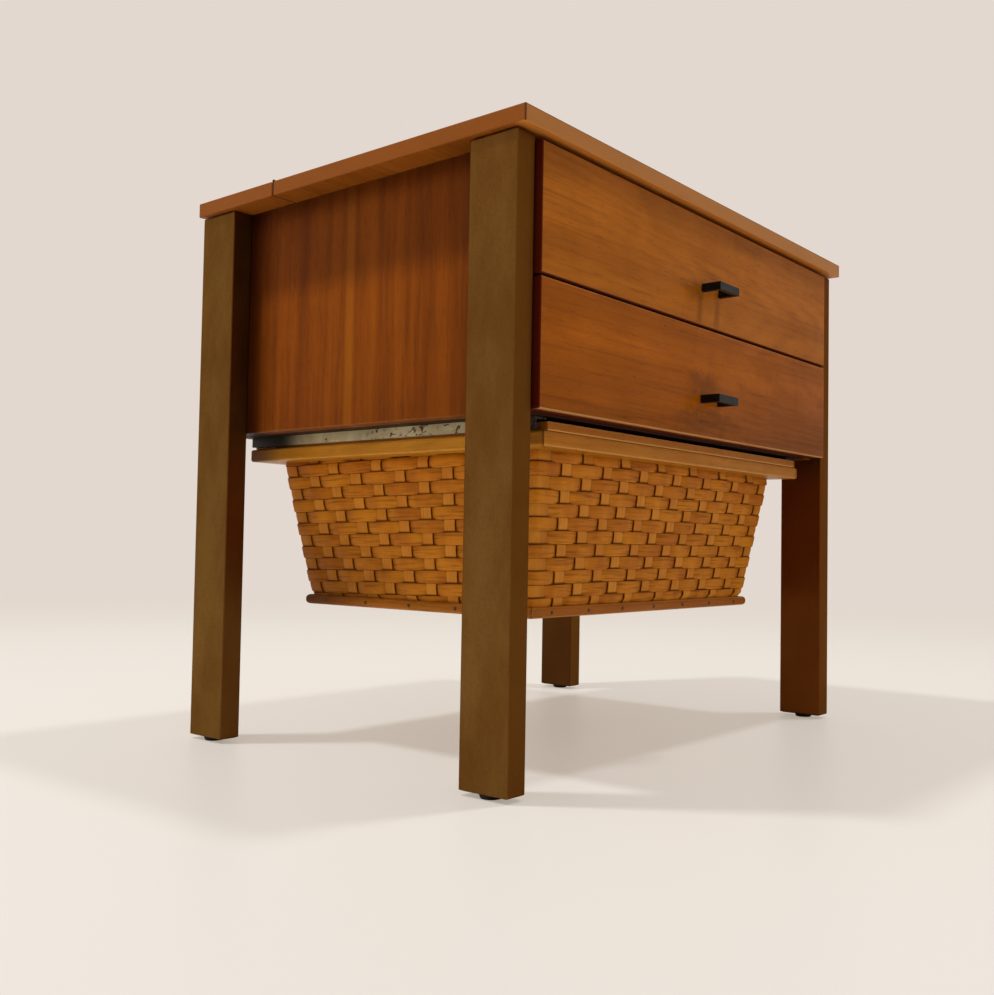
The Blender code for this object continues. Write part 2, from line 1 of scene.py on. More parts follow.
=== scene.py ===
"""The looks of the sewing cabinet: woven basket, fasteners, wood and metal finishes, light and camera.

Lengths are in metres, +Z is up and the cabinet faces -Y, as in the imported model.
"""

import math
import random

import bmesh
import bpy
from mathutils import Matrix, Vector


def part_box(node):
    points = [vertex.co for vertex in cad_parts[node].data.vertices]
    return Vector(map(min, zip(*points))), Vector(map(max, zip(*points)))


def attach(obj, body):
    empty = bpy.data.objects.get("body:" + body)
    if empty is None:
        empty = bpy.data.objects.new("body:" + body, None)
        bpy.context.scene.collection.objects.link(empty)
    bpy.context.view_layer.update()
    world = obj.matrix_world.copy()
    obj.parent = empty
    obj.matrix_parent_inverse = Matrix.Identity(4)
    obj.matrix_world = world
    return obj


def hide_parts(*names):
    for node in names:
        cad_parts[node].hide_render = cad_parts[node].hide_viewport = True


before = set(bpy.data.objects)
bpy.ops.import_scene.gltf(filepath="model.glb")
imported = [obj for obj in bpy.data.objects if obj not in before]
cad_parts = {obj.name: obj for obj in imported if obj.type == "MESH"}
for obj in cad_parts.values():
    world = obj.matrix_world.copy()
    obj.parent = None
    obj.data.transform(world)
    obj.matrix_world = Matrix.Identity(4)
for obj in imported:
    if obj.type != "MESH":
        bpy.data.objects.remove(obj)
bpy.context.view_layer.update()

# Camera, in the photograph's 994 by 995 pixels
IMAGE_LONG_SIDE = 995
IMAGE_CENTRE = (497.0, 497.5)
PRINCIPAL_POINT = (516.378, 502.089)
FOCAL_PIXELS = 1081.955
CAMERA_PLACE = Vector((-0.93417, -0.71892, 0.19726))
CAMERA_YAW = 0.8864
CAMERA_PITCH = 0.03943
CAMERA_ROLL = 0.01655
SENSOR_WIDTH = 36.0

# Light: two overhead lamps, which lean to the front right and to the back left, and a pale room
LAMP_CENTRE = Vector((0.0, 0.0, 0.3))
LAMP_REACH = 3.2
LAMP_SIZE = 0.26
FRONT_LAMP_LEAN = Vector((0.223, -0.181, 1.0))
BACK_LAMP_LEAN = Vector((-0.389, 0.322, 1.0))
FRONT_LAMP_LEVEL = 0.36
BACK_LAMP_LEVEL = 0.5
ROOM_LEVEL = 0.55
ROOM_COLOUR = "#fffaf2"
ROOM_DIM_COLOUR = "#d8d2ca"
ROOM_BRIGHT_SIDE = Vector((-0.6, 0.5, 0.62))
FLOOR_REACH = 14.0
FLOOR_COLOUR = "#e0dfde"
FLOOR_SEEN_COLOUR = "#eee0d0"
FLOOR_SEEN_SHARE = 0.42
BACKDROP_COLOUR = "#e3d8cf"

# Finishes
STRIPE_Y = 0.02                          # the bright stripe in the side panels' veneer
GRAIN_DEPTH = 0.00012

# Fasteners
SUNK = 0.0002                            # how far a head sits into what it holds
LEG_BOLT_HEIGHTS = (0.338, 0.5)
RUNNER_SHEET = 0.0015
PULL_BAR = 0.005
HINGE_GAP = 0.0003                       # between the closed leaves
HINGE_SCREW_RISE = 0.005                 # above the leaves' lower edge
HINGE_SCREW_COUNT = 9
HINGE_SCREW_SUNK = 0.0003
NAIL_PITCH = 0.06
NAIL_SUNK = 0.0003
RUNNER_SCREW_COUNT = 5
BACK_SCREW_COUNT = 6
BACK_SCREW_MARGIN = 0.03                 # from the back panel's ends
BACK_SCREW_RISE = 0.007                  # above its lower edge

# Glides under the legs
TUBE_CLEARANCE = 0.0023                  # from a leg's outside to the plug in it
PLUG_HEIGHT = 0.0066
PLUG_DROP = 0.0006                       # how far the plug stands out of the tube
GLIDE_RADIUS = 0.0098
GLIDE_TAPER = 0.0012
GLIDE_HEIGHT = 0.0037
GLIDE_RIM = 0.0008
PLUG_ARRIS = 0.0005

# Weave of the basket
BASKET_LOW_LEFT, BASKET_HIGH_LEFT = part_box("basket_wall_left")
BASKET_LOW_FRONT, BASKET_HIGH_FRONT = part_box("basket_wall_front")
BASKET_Y = (BASKET_LOW_FRONT.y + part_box("basket_wall_back")[1].y) / 2
WALL_THICKNESS = 0.005
WALL_LOW_Z = BASKET_LOW_FRONT.z
WALL_HIGH_Z = BASKET_HIGH_FRONT.z
WALL_TOP_HALF = Vector((-BASKET_LOW_LEFT.x, BASKET_Y - BASKET_LOW_FRONT.y))
WALL_BASE_HALF = Vector((WALL_THICKNESS - BASKET_HIGH_LEFT.x,
                         WALL_THICKNESS + BASKET_Y - BASKET_HIGH_FRONT.y))
BASE_STRIP_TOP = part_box("basket_base_strip_front")[1].z
RAIL_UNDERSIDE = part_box("basket_rail_front")[0].z
WEAVE_INSET = 0.0022
WEAVE_SWELL = 0.0024                     # the weave between its strips and its rails stands out by this
SWELL_RISE = 0.004
CHIP_THICKNESS = 0.0009
ROW_COUNT = 13
ROW_PITCH = 0.01184
FIRST_ROW_Z = BASE_STRIP_TOP + 0.0032
ROW_DROPS = ((0.0, -0.0075), (1.0, -0.0014), (1.3, 0.0003), (3.0, 0.0), (4.0, -0.0075))
WEAVER_WIDTH = 0.0119
WEAVER_SWING = 0.00135
STAKE_WIDTH = 0.0135
STAKE_SWING = 0.0005
STAKE_END_GAP = 0.0014
STAKE_COUNTS = (11, 14, 11, 14)          # left, front, right and back wall
CORNER_RADIUS = 0.003
CORNER_MARGIN = 0.0105
CORNER_ARM = 0.0142
PACKING_OUT = -0.0011
PACKING_THICKNESS = 0.0002
PACKING_LIFTS = (-0.0009, 0.0017)
# Painted shade on the splints, standing for the shade in the joints
PACKING_DARKNESS = 0.8
PACKING_SPANS = 8                        # equal lengths of a splint along a wall
PACKING_STEP = 0.02                      # from point to point of a splint on the grain's map
# Painted shade where a chip dives under a stake: how far it reaches, and its colour
CREVICE_REACH = 0.0022
CREVICE_COLOUR = "#541b04"
# Painted shade on the weave, low at the back left
WEAVE_PAINTED_SHADE = (                          # low at the back left
    (-0.2, 0.16, 0.14), (0.08, 0.2, 0.09), 0.5, "#4a2003", 0.42)
STRIP_LANES = (-1.0, -0.86, 0.0, 0.86, 1.0)
# Painted shade along a weaver's edges, by lane
LANE_DARKNESS = {1.0: 0.75, 0.86: 0.1, -1.0: 0.12}
WEAVER_EDGE_DROP = 0.00035               # how far a chip's edges lie behind its middle
STAKE_EDGE_DROP = 0.00016
# Painted shade along a stake's edges
STAKE_EDGE_DARKNESS = 0.25
# A stake's painted shade along each row, darkest at the row's lower edge
STAKE_PROFILE = (                        # share of a row's height, and darkness there
    (-0.5, 1.0), (-0.42, 0.8), (-0.33, 0.0), (0.1, 0.0), (0.46, 0.0))
STAKE_SHIFT = 0.0013
STRIP_SPACING = 0.05                     # between one strip and the next on the grain's map
WEAVER_END_GAP = 0.0006
WEAVER_EDGE_STEP = 0.0003                # keeps a weaver's lanes apart where the wall's end holds it
DIVE_POINTS = (0.0012, 0.0035)           # points near a stake's edge where a weaver bends
WEAVE_SEED = 19
CORNER_STEPS = (0.25, 0.5, 0.75, 1.0)
RING_GAP = 0.0003                        # round the flat ring under the weave
WEAVE_WALLS = (                          # the way each wall runs, and its outward side
    (Vector((0.0, -1.0)), Vector((-1.0, 0.0))),
    (Vector((1.0, 0.0)), Vector((0.0, -1.0))),
    (Vector((0.0, 1.0)), Vector((1.0, 0.0))),
    (Vector((-1.0, 0.0)), Vector((0.0, 1.0))),
)


def rgb(text):
    """A colour written as a screen's hex value, in linear light."""
    parts = [int(text[i:i + 2], 16) / 255 for i in (1, 3, 5)]
    return tuple(p / 12.92 if p <= 0.04045 else ((p + 0.055) / 1.055) ** 2.4 for p in parts) + (1.0,)


class Tree:
    """Short words for making and joining the nodes of one tree."""

    def __init__(self, tree):
        self.tree = tree

    def feed(self, socket, value):
        if isinstance(value, bpy.types.NodeSocket):
            self.tree.links.new(value, socket)
        else:
            socket.default_value = value

    def node(self, kind, inputs=(), **settings):
        made = self.tree.nodes.new("ShaderNode" + kind)
        for key, value in settings.items():
            setattr(made, key, value)
        for key, value in dict(inputs).items():
            self.feed(made.inputs[key], value)
        return made

    def math(self, operation, *values, clamp=False):
        made = self.node("Math", operation=operation, use_clamp=clamp)
        for socket, value in zip(made.inputs, values):
            self.feed(socket, value)
        return made.outputs[0]

    def vector(self, operation, *values):
        made = self.node("VectorMath", operation=operation)
        for socket, value in zip(made.inputs, values):
            self.feed(socket, value)
        return made.outputs[0]

    def smooth(self, value, low, high, start=0.0, end=1.0):
        """A soft step from start to end while value goes from low to high."""
        made = self.node("MapRange", {"Value": value, "From Min": low, "From Max": high,
                                      "To Min": start, "To Max": end}, interpolation_type="SMOOTHSTEP")
        return made.outputs[0]

    def mix(self, factor, first, second, blend="MIX"):
        made = self.node("Mix", {0: factor, 6: first, 7: second}, data_type="RGBA", blend_type=blend)
        return made.outputs[2]

    def noise(self, vector, stretch, detail=2.0, roughness=0.5):
        """Noise with stretch cells to the metre along each axis."""
        scaled = self.vector("MULTIPLY", vector, stretch)
        made = self.node("TexNoise", {"Vector": scaled, "Scale": 1.0, "Detail": detail,
                                      "Roughness": roughness})
        return made.outputs[0]

    def place(self, group, inputs=()):
        made = self.node("Group", node_tree=group)
        for key, value in dict(inputs).items():
            self.feed(made.inputs[key], value)
        return made.outputs


def new_group(name, inputs, outputs):
    """An empty node group with these sockets, its tree, and its input and output nodes."""
    group = bpy.data.node_groups.new(name, "ShaderNodeTree")
    for label, kind in inputs:
        group.interface.new_socket(label, in_out="INPUT", socket_type="NodeSocket" + kind)
    for label, kind in outputs:
        group.interface.new_socket(label, in_out="OUTPUT", socket_type="NodeSocket" + kind)
    given = group.nodes.new("NodeGroupInput").outputs
    out = group.nodes.new("NodeGroupOutput").inputs
    return group, Tree(group), given, out


def make_wood_figure():
    """Growth rings, broad tone, fibres and pores of a board whose grain runs along its vector's X."""
    group, tree, given, out = new_group(
        "wood_figure",
        (("Vector", "Vector"), ("Ring Width", "Float"), ("Pith Depth", "Float"), ("Taper", "Float"),
         ("Wander", "Float")),
        (("Ring", "Float"), ("Tone", "Float"), ("Fibre", "Float"), ("Pore", "Float")))
    place = given["Vector"]
    bend = tree.math("SUBTRACT", tree.noise(place, (2.2, 11.0, 11.0), 2.0), 0.5)
    ripple = tree.math("SUBTRACT", tree.noise(place, (9.0, 60.0, 60.0), 2.0), 0.5)
    parts = tree.node("SeparateXYZ", {0: place}).outputs
    across = tree.math("MULTIPLY_ADD", bend, given["Wander"], parts[1])
    sloped = tree.math("MULTIPLY_ADD", parts[0], given["Taper"], given["Pith Depth"])
    depth = tree.math("ADD", parts[2], sloped)
    radius = tree.math("SQRT", tree.math("ADD", tree.math("MULTIPLY", across, across),
                                         tree.math("MULTIPLY", depth, depth)))
    turns = tree.math("ADD", tree.math("DIVIDE", radius, given["Ring Width"]),
                      tree.math("MULTIPLY", ripple, 1.6))
    wave = tree.math("MULTIPLY_ADD", tree.math("SINE", tree.math("MULTIPLY", turns, 2 * math.pi)), 0.5, 0.5)
    line = tree.math("POWER", wave, 2.2)
    strength = tree.smooth(tree.noise(place, (3.0, 45.0, 45.0), 2.0), 0.32, 0.68)
    tree.feed(out["Ring"], tree.math("MULTIPLY", line, strength))
    tree.feed(out["Tone"], tree.smooth(tree.noise(place, (1.8, 30.0, 30.0), 4.0, 0.6), 0.3, 0.7))
    tree.feed(out["Fibre"], tree.smooth(tree.noise(place, (7.0, 300.0, 300.0), 3.0, 0.65), 0.46, 0.76))
    tree.feed(out["Pore"], tree.smooth(tree.noise(place, (75.0, 1500.0, 1500.0), 1.0), 0.6, 0.74))
    return group


def make_board_edges():
    """A mask near a point's closest arris of a box, in patches."""
    group, tree, given, out = new_group(
        "board_edges",
        (("Vector", "Vector"), ("Low", "Vector"), ("High", "Vector"), ("Width", "Float"),
         ("Breaks", "Float")),
        (("Near Arris", "Float"),))
    near = tree.vector("MINIMUM", tree.vector("SUBTRACT", given["Vector"], given["Low"]),
                       tree.vector("SUBTRACT", given["High"], given["Vector"]))
    x, y, z = tree.node("SeparateXYZ", {0: near}).outputs
    low = tree.math("MINIMUM", x, tree.math("MINIMUM", y, z))
    high = tree.math("MAXIMUM", x, tree.math("MAXIMUM", y, z))
    total = tree.math("ADD", x, tree.math("ADD", y, z))
    middle = tree.math("SUBTRACT", tree.math("SUBTRACT", total, low), high)
    patches = tree.noise(given["Vector"], (70.0, 70.0, 70.0), 3.0, 0.65)
    reach = tree.math("MULTIPLY", given["Width"],
                      tree.math("MULTIPLY_ADD", tree.math("SUBTRACT", patches, 0.5), given["Breaks"], 1.0))
    tree.feed(out["Near Arris"], tree.math("SUBTRACT", 1.0, tree.smooth(middle, 0.0, reach)))
    return group


def make_scuffs():
    """Cloudy dulling and fine scratches of a handled surface."""
    group, tree, given, out = new_group("scuffs", (("Vector", "Vector"), ("Size", "Float")),
                                        (("Cloud", "Float"), ("Scratch", "Float")))
    size = tree.node("CombineXYZ", {axis: given["Size"] for axis in range(3)}).outputs[0]
    place = tree.vector("DIVIDE", given["Vector"], size)
    tree.feed(out["Cloud"], tree.smooth(tree.noise(place, (1.0, 1.0, 1.0), 4.0, 0.6), 0.32, 0.68))
    turned = tree.node("Mapping", {"Vector": place, "Rotation": (0.5, 0.8, 0.35)}).outputs[0]
    lines = tree.noise(turned, (0.7, 60.0, 60.0), 1.0)
    patch = tree.smooth(tree.noise(place, (1.6, 1.6, 1.6), 2.0), 0.5, 0.7)
    tree.feed(out["Scratch"], tree.math("MULTIPLY", tree.smooth(lines, 0.68, 0.76), patch))
    return group


def make_near_plane():
    """A mask that is full on a plane and ends within a reach of it, at a soft or a sharp border."""
    group, tree, given, out = new_group(
        "near_plane",
        (("Vector", "Vector"), ("Axis", "Vector"), ("Place", "Float"), ("Reach", "Float"), ("Soft", "Float")),
        (("Mask", "Float"),))
    along = tree.node("VectorMath", {0: given["Vector"], 1: given["Axis"]},
                      operation="DOT_PRODUCT").outputs["Value"]
    away = tree.math("ABSOLUTE", tree.math("SUBTRACT", along, given["Place"]))
    border = tree.smooth(away, tree.math("SUBTRACT", given["Reach"], given["Soft"]),
                         tree.math("ADD", given["Reach"], given["Soft"]))
    tree.feed(out["Mask"], tree.math("SUBTRACT", 1.0, border))
    return group


def make_smudge():
    """A mask for a ragged spot round a centre."""
    group, tree, given, out = new_group(
        "smudge", (("Vector", "Vector"), ("Centre", "Vector"), ("Radii", "Vector"), ("Ragged", "Float")),
        (("Mask", "Float"),))
    away = tree.vector("DIVIDE", tree.vector("SUBTRACT", given["Vector"], given["Centre"]), given["Radii"])
    length = tree.node("VectorMath", {0: away}, operation="LENGTH").outputs["Value"]
    rough = tree.math("SUBTRACT", tree.noise(given["Vector"], (60.0, 60.0, 60.0), 4.0, 0.6), 0.5)
    border = tree.smooth(tree.math("MULTIPLY_ADD", rough, given["Ragged"], length), 0.2, 1.0)
    tree.feed(out["Mask"], tree.math("SUBTRACT", 1.0, border))
    return group


WOOD_FIGURE = make_wood_figure()
BOARD_EDGES = make_board_edges()
SCUFFS = make_scuffs()
NEAR_PLANE = make_near_plane()
SMUDGE = make_smudge()
AXES = {"x": Vector((1, 0, 0)), "y": Vector((0, 1, 0)), "z": Vector((0, 0, 1))}


def new_material(name):
    """An empty material, its tree, its shader and the object's own coordinates."""
    material = bpy.data.materials.new(name)
    material.use_nodes = True
    tree = Tree(material.node_tree)
    shader = next(n for n in material.node_tree.nodes if n.type == "BSDF_PRINCIPLED")
    return material, tree, shader, tree.node("TexCoord").outputs["Object"]


def grain_turn(along, across):
    """The turn that brings a board's grain to X and its width to Y."""
    return Matrix((AXES[along], AXES[across], AXES[along].cross(AXES[across])))


def grain_vector(tree, place, along, across, centre):
    turn = grain_turn(along, across)
    return tree.node("Mapping", {"Vector": place, "Location": -(turn @ Vector(centre)),
                                 "Rotation": turn.to_euler()}).outputs[0]


def edge_nodes(tree, place, node, width, breaks):
    low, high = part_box(node)
    return tree.place(BOARD_EDGES, {"Vector": place, "Low": low, "High": high, "Width": width,
                                    "Breaks": breaks})


def add_bump(tree, shader, height, distance, strength=1.0):
    bump = tree.node("Bump", {"Height": height, "Distance": distance, "Strength": strength})
    tree.feed(shader.inputs["Normal"], bump.outputs[0])


def band(axis, place, reach, soft, colour, strength):
    """A layer of colour on a plane across an axis, to a reach on both sides of it."""
    return NEAR_PLANE, {"Axis": AXES[axis], "Place": place, "Reach": reach, "Soft": soft}, colour, strength


def spot(centre, radii, ragged, colour, strength):
    """A layer of colour in a ragged spot."""
    return SMUDGE, {"Centre": Vector(centre), "Radii": Vector(radii), "Ragged": ragged}, colour, strength


def add_layers(tree, place, colour, layers):
    for group, inputs, layer_colour, strength in layers:
        mask = tree.place(group, {"Vector": place, **inputs})["Mask"]
        colour = tree.mix(tree.math("MULTIPLY", mask, strength), colour, rgb(layer_colour))
    return colour


def wood(name, node, along, across, colours, ring_width=0.005, pith_depth=0.06, taper=0.05, wander=0.02,
         ring_strength=0.3, fibre_strength=0.35, pore_strength=0.3, arris_wear_and_highlight="#b98552", arris_wear_and_highlight_width=0.0016,
         arris_wear_and_highlight_strength=0.3, roughness=0.42, centre=None, gloss=0.1, layers=()):
    """A board's wood, with the grain along one axis: colours are pale, deep, ring line and pore."""
    material, tree, shader, place = new_material(name)
    low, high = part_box(node)
    vector = grain_vector(tree, place, along, across, centre or (low + high) / 2)
    figure = tree.place(WOOD_FIGURE, {"Vector": vector, "Ring Width": ring_width, "Pith Depth": pith_depth,
                                      "Taper": taper, "Wander": wander})
    pale, deep, line, pore = (rgb(c) for c in colours)
    lines = tree.math("MULTIPLY_ADD", figure["Ring"], ring_strength,
                      tree.math("MULTIPLY", figure["Fibre"], fibre_strength), clamp=True)
    colour = tree.mix(lines, tree.mix(figure["Tone"], deep, pale), line)
    colour = tree.mix(tree.math("MULTIPLY", figure["Pore"], pore_strength), colour, pore)
    scuffs = tree.place(SCUFFS, {"Vector": place, "Size": 0.06})
    colour = tree.mix(tree.math("MULTIPLY", scuffs["Cloud"], 0.12), colour, rgb("#2a1205"))
    # Lighter arrises: wear, and a painted highlight along the edges
    edges = edge_nodes(tree, place, node, arris_wear_and_highlight_width, 1.6)
    colour = tree.mix(tree.math("MULTIPLY", edges["Near Arris"], arris_wear_and_highlight_strength), colour, rgb(arris_wear_and_highlight))
    tree.feed(shader.inputs["Base Color"], add_layers(tree, place, colour, layers))
    dull = tree.math("MULTIPLY_ADD", scuffs["Cloud"], 0.1, roughness - 0.05)
    tree.feed(shader.inputs["Roughness"], tree.math("MULTIPLY_ADD", scuffs["Scratch"], 0.12, dull))
    shader.inputs["Specular IOR Level"].default_value = gloss
    sunk = tree.math("MULTIPLY_ADD", figure["Pore"], -1.0, tree.math("MULTIPLY", lines, -0.6))
    add_bump(tree, shader, sunk, GRAIN_DEPTH)
    return material


def finish(node, material):
    """Gives a CAD node its finish."""
    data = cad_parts[node].data
    data.materials.clear()
    data.materials.append(material)


def add_piece(bm, name, body, material, replaces=()):
    """The bmesh as a piece that rides on a body."""
    mesh = bpy.data.meshes.new(name)
    bm.to_mesh(mesh)
    bm.free()
    for face in mesh.polygons:
        face.use_smooth = True
    mesh.set_sharp_from_angle(angle=math.radians(38))
    mesh.materials.append(material)
    piece = bpy.data.objects.new(name, mesh)
    bpy.context.scene.collection.objects.link(piece)
    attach(piece, body)
    if replaces:
        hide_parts(*replaces)
    return piece


def wall_half(z):
    """Half the width and depth of the weave's middle surface at a height."""
    share = (z - WALL_LOW_Z) / (WALL_HIGH_Z - WALL_LOW_Z)
    held = min(z - BASE_STRIP_TOP, RAIL_UNDERSIDE - z)
    out = WEAVE_SWELL * min(max(held / SWELL_RISE, 0.0), 1.0) - WEAVE_INSET
    return WALL_BASE_HALF.lerp(WALL_TOP_HALF, share) + Vector((out, out))


def wall_run(wall, z):
    """Half the straight length of a wall between its rounded corners."""
    half = wall_half(z)
    return (half.y if wall % 2 == 0 else half.x) - CORNER_RADIUS


def weave_point(wall, share, bend, out, z):
    """A point of the weave: share of the wall's straight half, turn into its corner, and step outwards."""
    run, side = WEAVE_WALLS[wall]
    half = wall_half(z)
    hub = run * (share * wall_run(wall, z)) + side * ((half.x if wall % 2 == 0 else half.y) - CORNER_RADIUS)
    point = hub + (side * math.cos(bend) + run * math.sin(bend)) * (CORNER_RADIUS + out)
    return Vector((point.x, BASKET_Y + point.y, z))


def row_drop(wall, share):
    """How far a row lies above its level height at a place round the basket: negative where it hangs."""
    place = wall + (share + 1) / 2
    for (start, first), (end, last) in zip(ROW_DROPS, ROW_DROPS[1:]):
        if place <= end:
            return first + (last - first) * (place - start) / (end - start)
    return ROW_DROPS[-1][1]


def plan_stakes(chance):
    """The stakes round the basket: wall, share of its straight half, width, and whether it is folded."""
    middle_z = FIRST_ROW_Z + ROW_PITCH * (ROW_COUNT - 1) / 2
    stakes = []
    for wall, count in enumerate(STAKE_COUNTS):
        run = wall_run(wall, middle_z)
        reach = run + CORNER_RADIUS - CORNER_MARGIN
        for i in range(1, count - 1):
            place = reach * (2 * i / (count - 1) - 1) + chance.uniform(-STAKE_SHIFT, STAKE_SHIFT)
            stakes.append((wall, place / run, STAKE_WIDTH * chance.uniform(0.93, 1.07), False))
        stakes.append((wall, 1.0, 2 * CORNER_ARM, True))
    return stakes


def stake_spots(stake, z):
    """The places across a stake from edge to edge: wall, share, bend, and how far along."""
    wall, share, width, corner = stake
    run = wall_run(wall, z)
    if not corner:
        return [(wall, share + (t - 0.5) * width / run, 0.0, t * width) for t in (0.0, 0.5, 1.0)]
    arc = CORNER_RADIUS * math.pi / 2
    following = (wall + 1) % 4
    spots = [(wall, 1 - CORNER_ARM / run, 0.0, 0.0)]
    spots += [(wall, 1.0, math.pi / 2 * t, CORNER_ARM + arc * t) for t in (0.0, *CORNER_STEPS)]
    spots.append((following, CORNER_ARM / wall_run(following, z) - 1, 0.0, 2 * CORNER_ARM + arc))
    return spots


def strip_grid(bm, columns, lanes):
    """A flat grid for one strip, as {(column, lane): vertex}."""
    made = bmesh.ops.create_grid(bm, x_segments=columns - 1, y_segments=lanes - 1, size=1.0)
    return {(round((v.co.x + 1) / 2 * (columns - 1)), round((v.co.y + 1) / 2 * (lanes - 1))): v
            for v in made["verts"]}


def strip_layers(bm):
    """What each strip's points carry: length, width, and painted shade on the outer and the inner face."""
    return [bm.verts.layers.float.new(word) for word in ("along", "across", "crevice", "inside")]


def crevice_at(distance):
    """How much painted shade a chip gets this far from the stake that it dives under."""
    return max(0.0, 1 - distance / CREVICE_REACH) ** 2


def weaver_stations(stakes, row, first):
    """The points of one weaver, once round from behind its first stake.

    Each has its wall, share, bend, swing, painted shade outside and inside, and length so far.
    """
    z = FIRST_ROW_Z + row * ROW_PITCH
    stations = []
    length = 0.0
    for step in range(len(stakes) + 1):
        index = (first + step) % len(stakes)
        under = (index + row) % 2 == 0
        swing = -WEAVER_SWING if under else WEAVER_SWING
        spots = stake_spots(stakes[index], z)
        if step == 0:
            spots = spots[1:]
        if step == len(stakes):
            wall, share, bend, gone = spots[1]
            share -= WEAVER_END_GAP / wall_run(wall, z)
            spots = [spots[0], (wall, share, bend, gone - WEAVER_END_GAP)]
        start = spots[0][3]
        for wall, share, bend, gone in spots:
            darkness = (float(under), float(not under))
            stations.append((wall, share, bend, swing, darkness, length + gone - start))
        length = stations[-1][5]
        if step == len(stakes):
            break
        wall, edge = spots[-1][0], spots[-1][1]
        run = wall_run(wall, z)
        free = (stake_spots(stakes[(index + 1) % len(stakes)], z)[0][1] - edge) * run
        near, next_near = (point / free for point in DIVE_POINTS)
        for t in (near, next_near, 0.36, 0.5, 0.64, 1 - next_near, 1 - near):
            dive = t * free if under else (1 - t) * free
            stations.append((wall, edge + t * free / run, 0.0, swing * math.cos(math.pi * t),
                             (crevice_at(dive), crevice_at(free - dive)), length + t * free))
        length += free
    return stations


def add_weaver(bm, layers, stakes, row, chance):
    """One ring of chip, which starts and ends behind a stake of the back wall."""
    along, across, crevice, inside = layers
    hidden = [i for i, stake in enumerate(stakes) if stake[0] == 3 and not stake[3] and (i + row) % 2 == 0]
    stations = weaver_stations(stakes, row, chance.choice(hidden))
    centre = FIRST_ROW_Z + row * ROW_PITCH
    phase, sag = chance.uniform(0, 6.28), chance.uniform(0.00012, 0.0003)
    for (column, lane), vert in strip_grid(bm, len(stations), len(STRIP_LANES)).items():
        wall, share, bend, swing, (outer, inner), gone = stations[column]
        lift = STRIP_LANES[lane]
        uneven = 1 + 0.022 * math.sin(gone * 41 + phase * 2) + 0.02 * math.sin(gone * 97 + phase * 3 + lift)
        level = centre + row_drop(wall, share) + sag * math.sin(gone * 9 + phase)
        z = level + lift * uneven * WEAVER_WIDTH / 2
        edge_lift = WEAVER_EDGE_STEP * lift
        z = min(max(z, WALL_LOW_Z + STAKE_END_GAP + edge_lift), WALL_HIGH_Z - STAKE_END_GAP + edge_lift)
        vert.co = weave_point(wall, share, bend, swing - (WEAVER_EDGE_DROP if abs(lift) == 1 else 0.0), z)
        vert[along] = gone
        vert[across] = lift * WEAVER_WIDTH / 2 + STRIP_SPACING * row
        # Painted shade along the weaver's edges
        rim = LANE_DARKNESS.get(lift, 0.0)
        vert[crevice], vert[inside] = max(outer, rim), max(inner, rim)


def add_stake(bm, layers, index, stake):
    """One upright chip, flat on a wall or folded round a corner."""
    along, across, crevice, inside = layers
    wall, share, width, corner = stake
    low, high = WALL_LOW_Z + STAKE_END_GAP, WALL_HIGH_Z - STAKE_END_GAP
    levels = [(low, 0.0, (1.0, 1.0))]
    for row in range(ROW_COUNT):
        outside = (index + row) % 2 == 0
        centre = FIRST_ROW_Z + row * ROW_PITCH + row_drop(wall, share)
        for t, dark in STAKE_PROFILE:
            depths = (dark, 1.0) if outside else (1.0, dark)
            swing = STAKE_SWING * math.cos(math.pi * t) * (1 if outside else -1)
            if low < centre + t * ROW_PITCH < high:
                levels.append((centre + t * ROW_PITCH, swing, depths))
    levels.append((high, 0.0, (1.0, 1.0)))
    lanes = len(stake_spots(stake, low)) if corner else len(STRIP_LANES)
    for (lane, level), vert in strip_grid(bm, lanes, len(levels)).items():
        z, swing, depths = levels[level]
        edge = lane in (0, lanes - 1)
        if corner:
            spot_wall, spot_share, bend, gone = stake_spots(stake, z)[lane]
        else:
            gone = (STRIP_LANES[lane] + 1) * width / 2
            spot_wall, spot_share, bend = wall, share + (gone - width / 2) / wall_run(wall, z), 0.0
        vert.co = weave_point(spot_wall, spot_share, bend, swing - (STAKE_EDGE_DROP if edge else 0.0), z)
        vert[along] = z
        vert[across] = gone + STRIP_SPACING * index
        # Painted shade along the stake's edges
        rim = STAKE_EDGE_DARKNESS if edge else 0.0
        vert[crevice], vert[inside] = (max(depth, rim) for depth in depths)


def add_packing(bm, layers, row):
    """A thin splint round the basket, behind the joint above one row, so that no light shows through."""
    along, across, crevice, inside = layers
    stations = []
    for wall in range(4):
        stations += [(wall, 2 * i / PACKING_SPANS - 1, 0.0) for i in range(PACKING_SPANS + 1)]
        stations += [(wall, 1.0, math.pi / 2 * t) for t in CORNER_STEPS]
    joint = FIRST_ROW_Z + (row + 0.5) * ROW_PITCH
    for (column, lane), vert in strip_grid(bm, len(stations), len(PACKING_LIFTS)).items():
        wall, share, bend = stations[column]
        z = joint + row_drop(wall, share) + PACKING_LIFTS[lane]
        vert.co = weave_point(wall, share, bend, PACKING_OUT, z)
        vert[along] = PACKING_STEP * column
        vert[across] = PACKING_LIFTS[lane] + STRIP_SPACING * row
        # The splint is painted dark, as shade in the joint
        vert[crevice] = vert[inside] = PACKING_DARKNESS


def thicken_strips(bm, layers, thickness):
    """Gives the strips a thickness, and a UV map along and across each one."""
    along, across, crevice, inside = layers
    bm.normal_update()
    for vert in bmesh.ops.solidify(bm, geom=bm.faces[:], thickness=thickness)["geom"]:
        if isinstance(vert, bmesh.types.BMVert):
            # The new face takes the inner face's painted shade
            vert[crevice] = vert[inside]
    uv = bm.loops.layers.uv.new("strip")
    for face in bm.faces:
        for loop in face.loops:
            loop[uv].uv = (loop.vert[along], loop.vert[across])


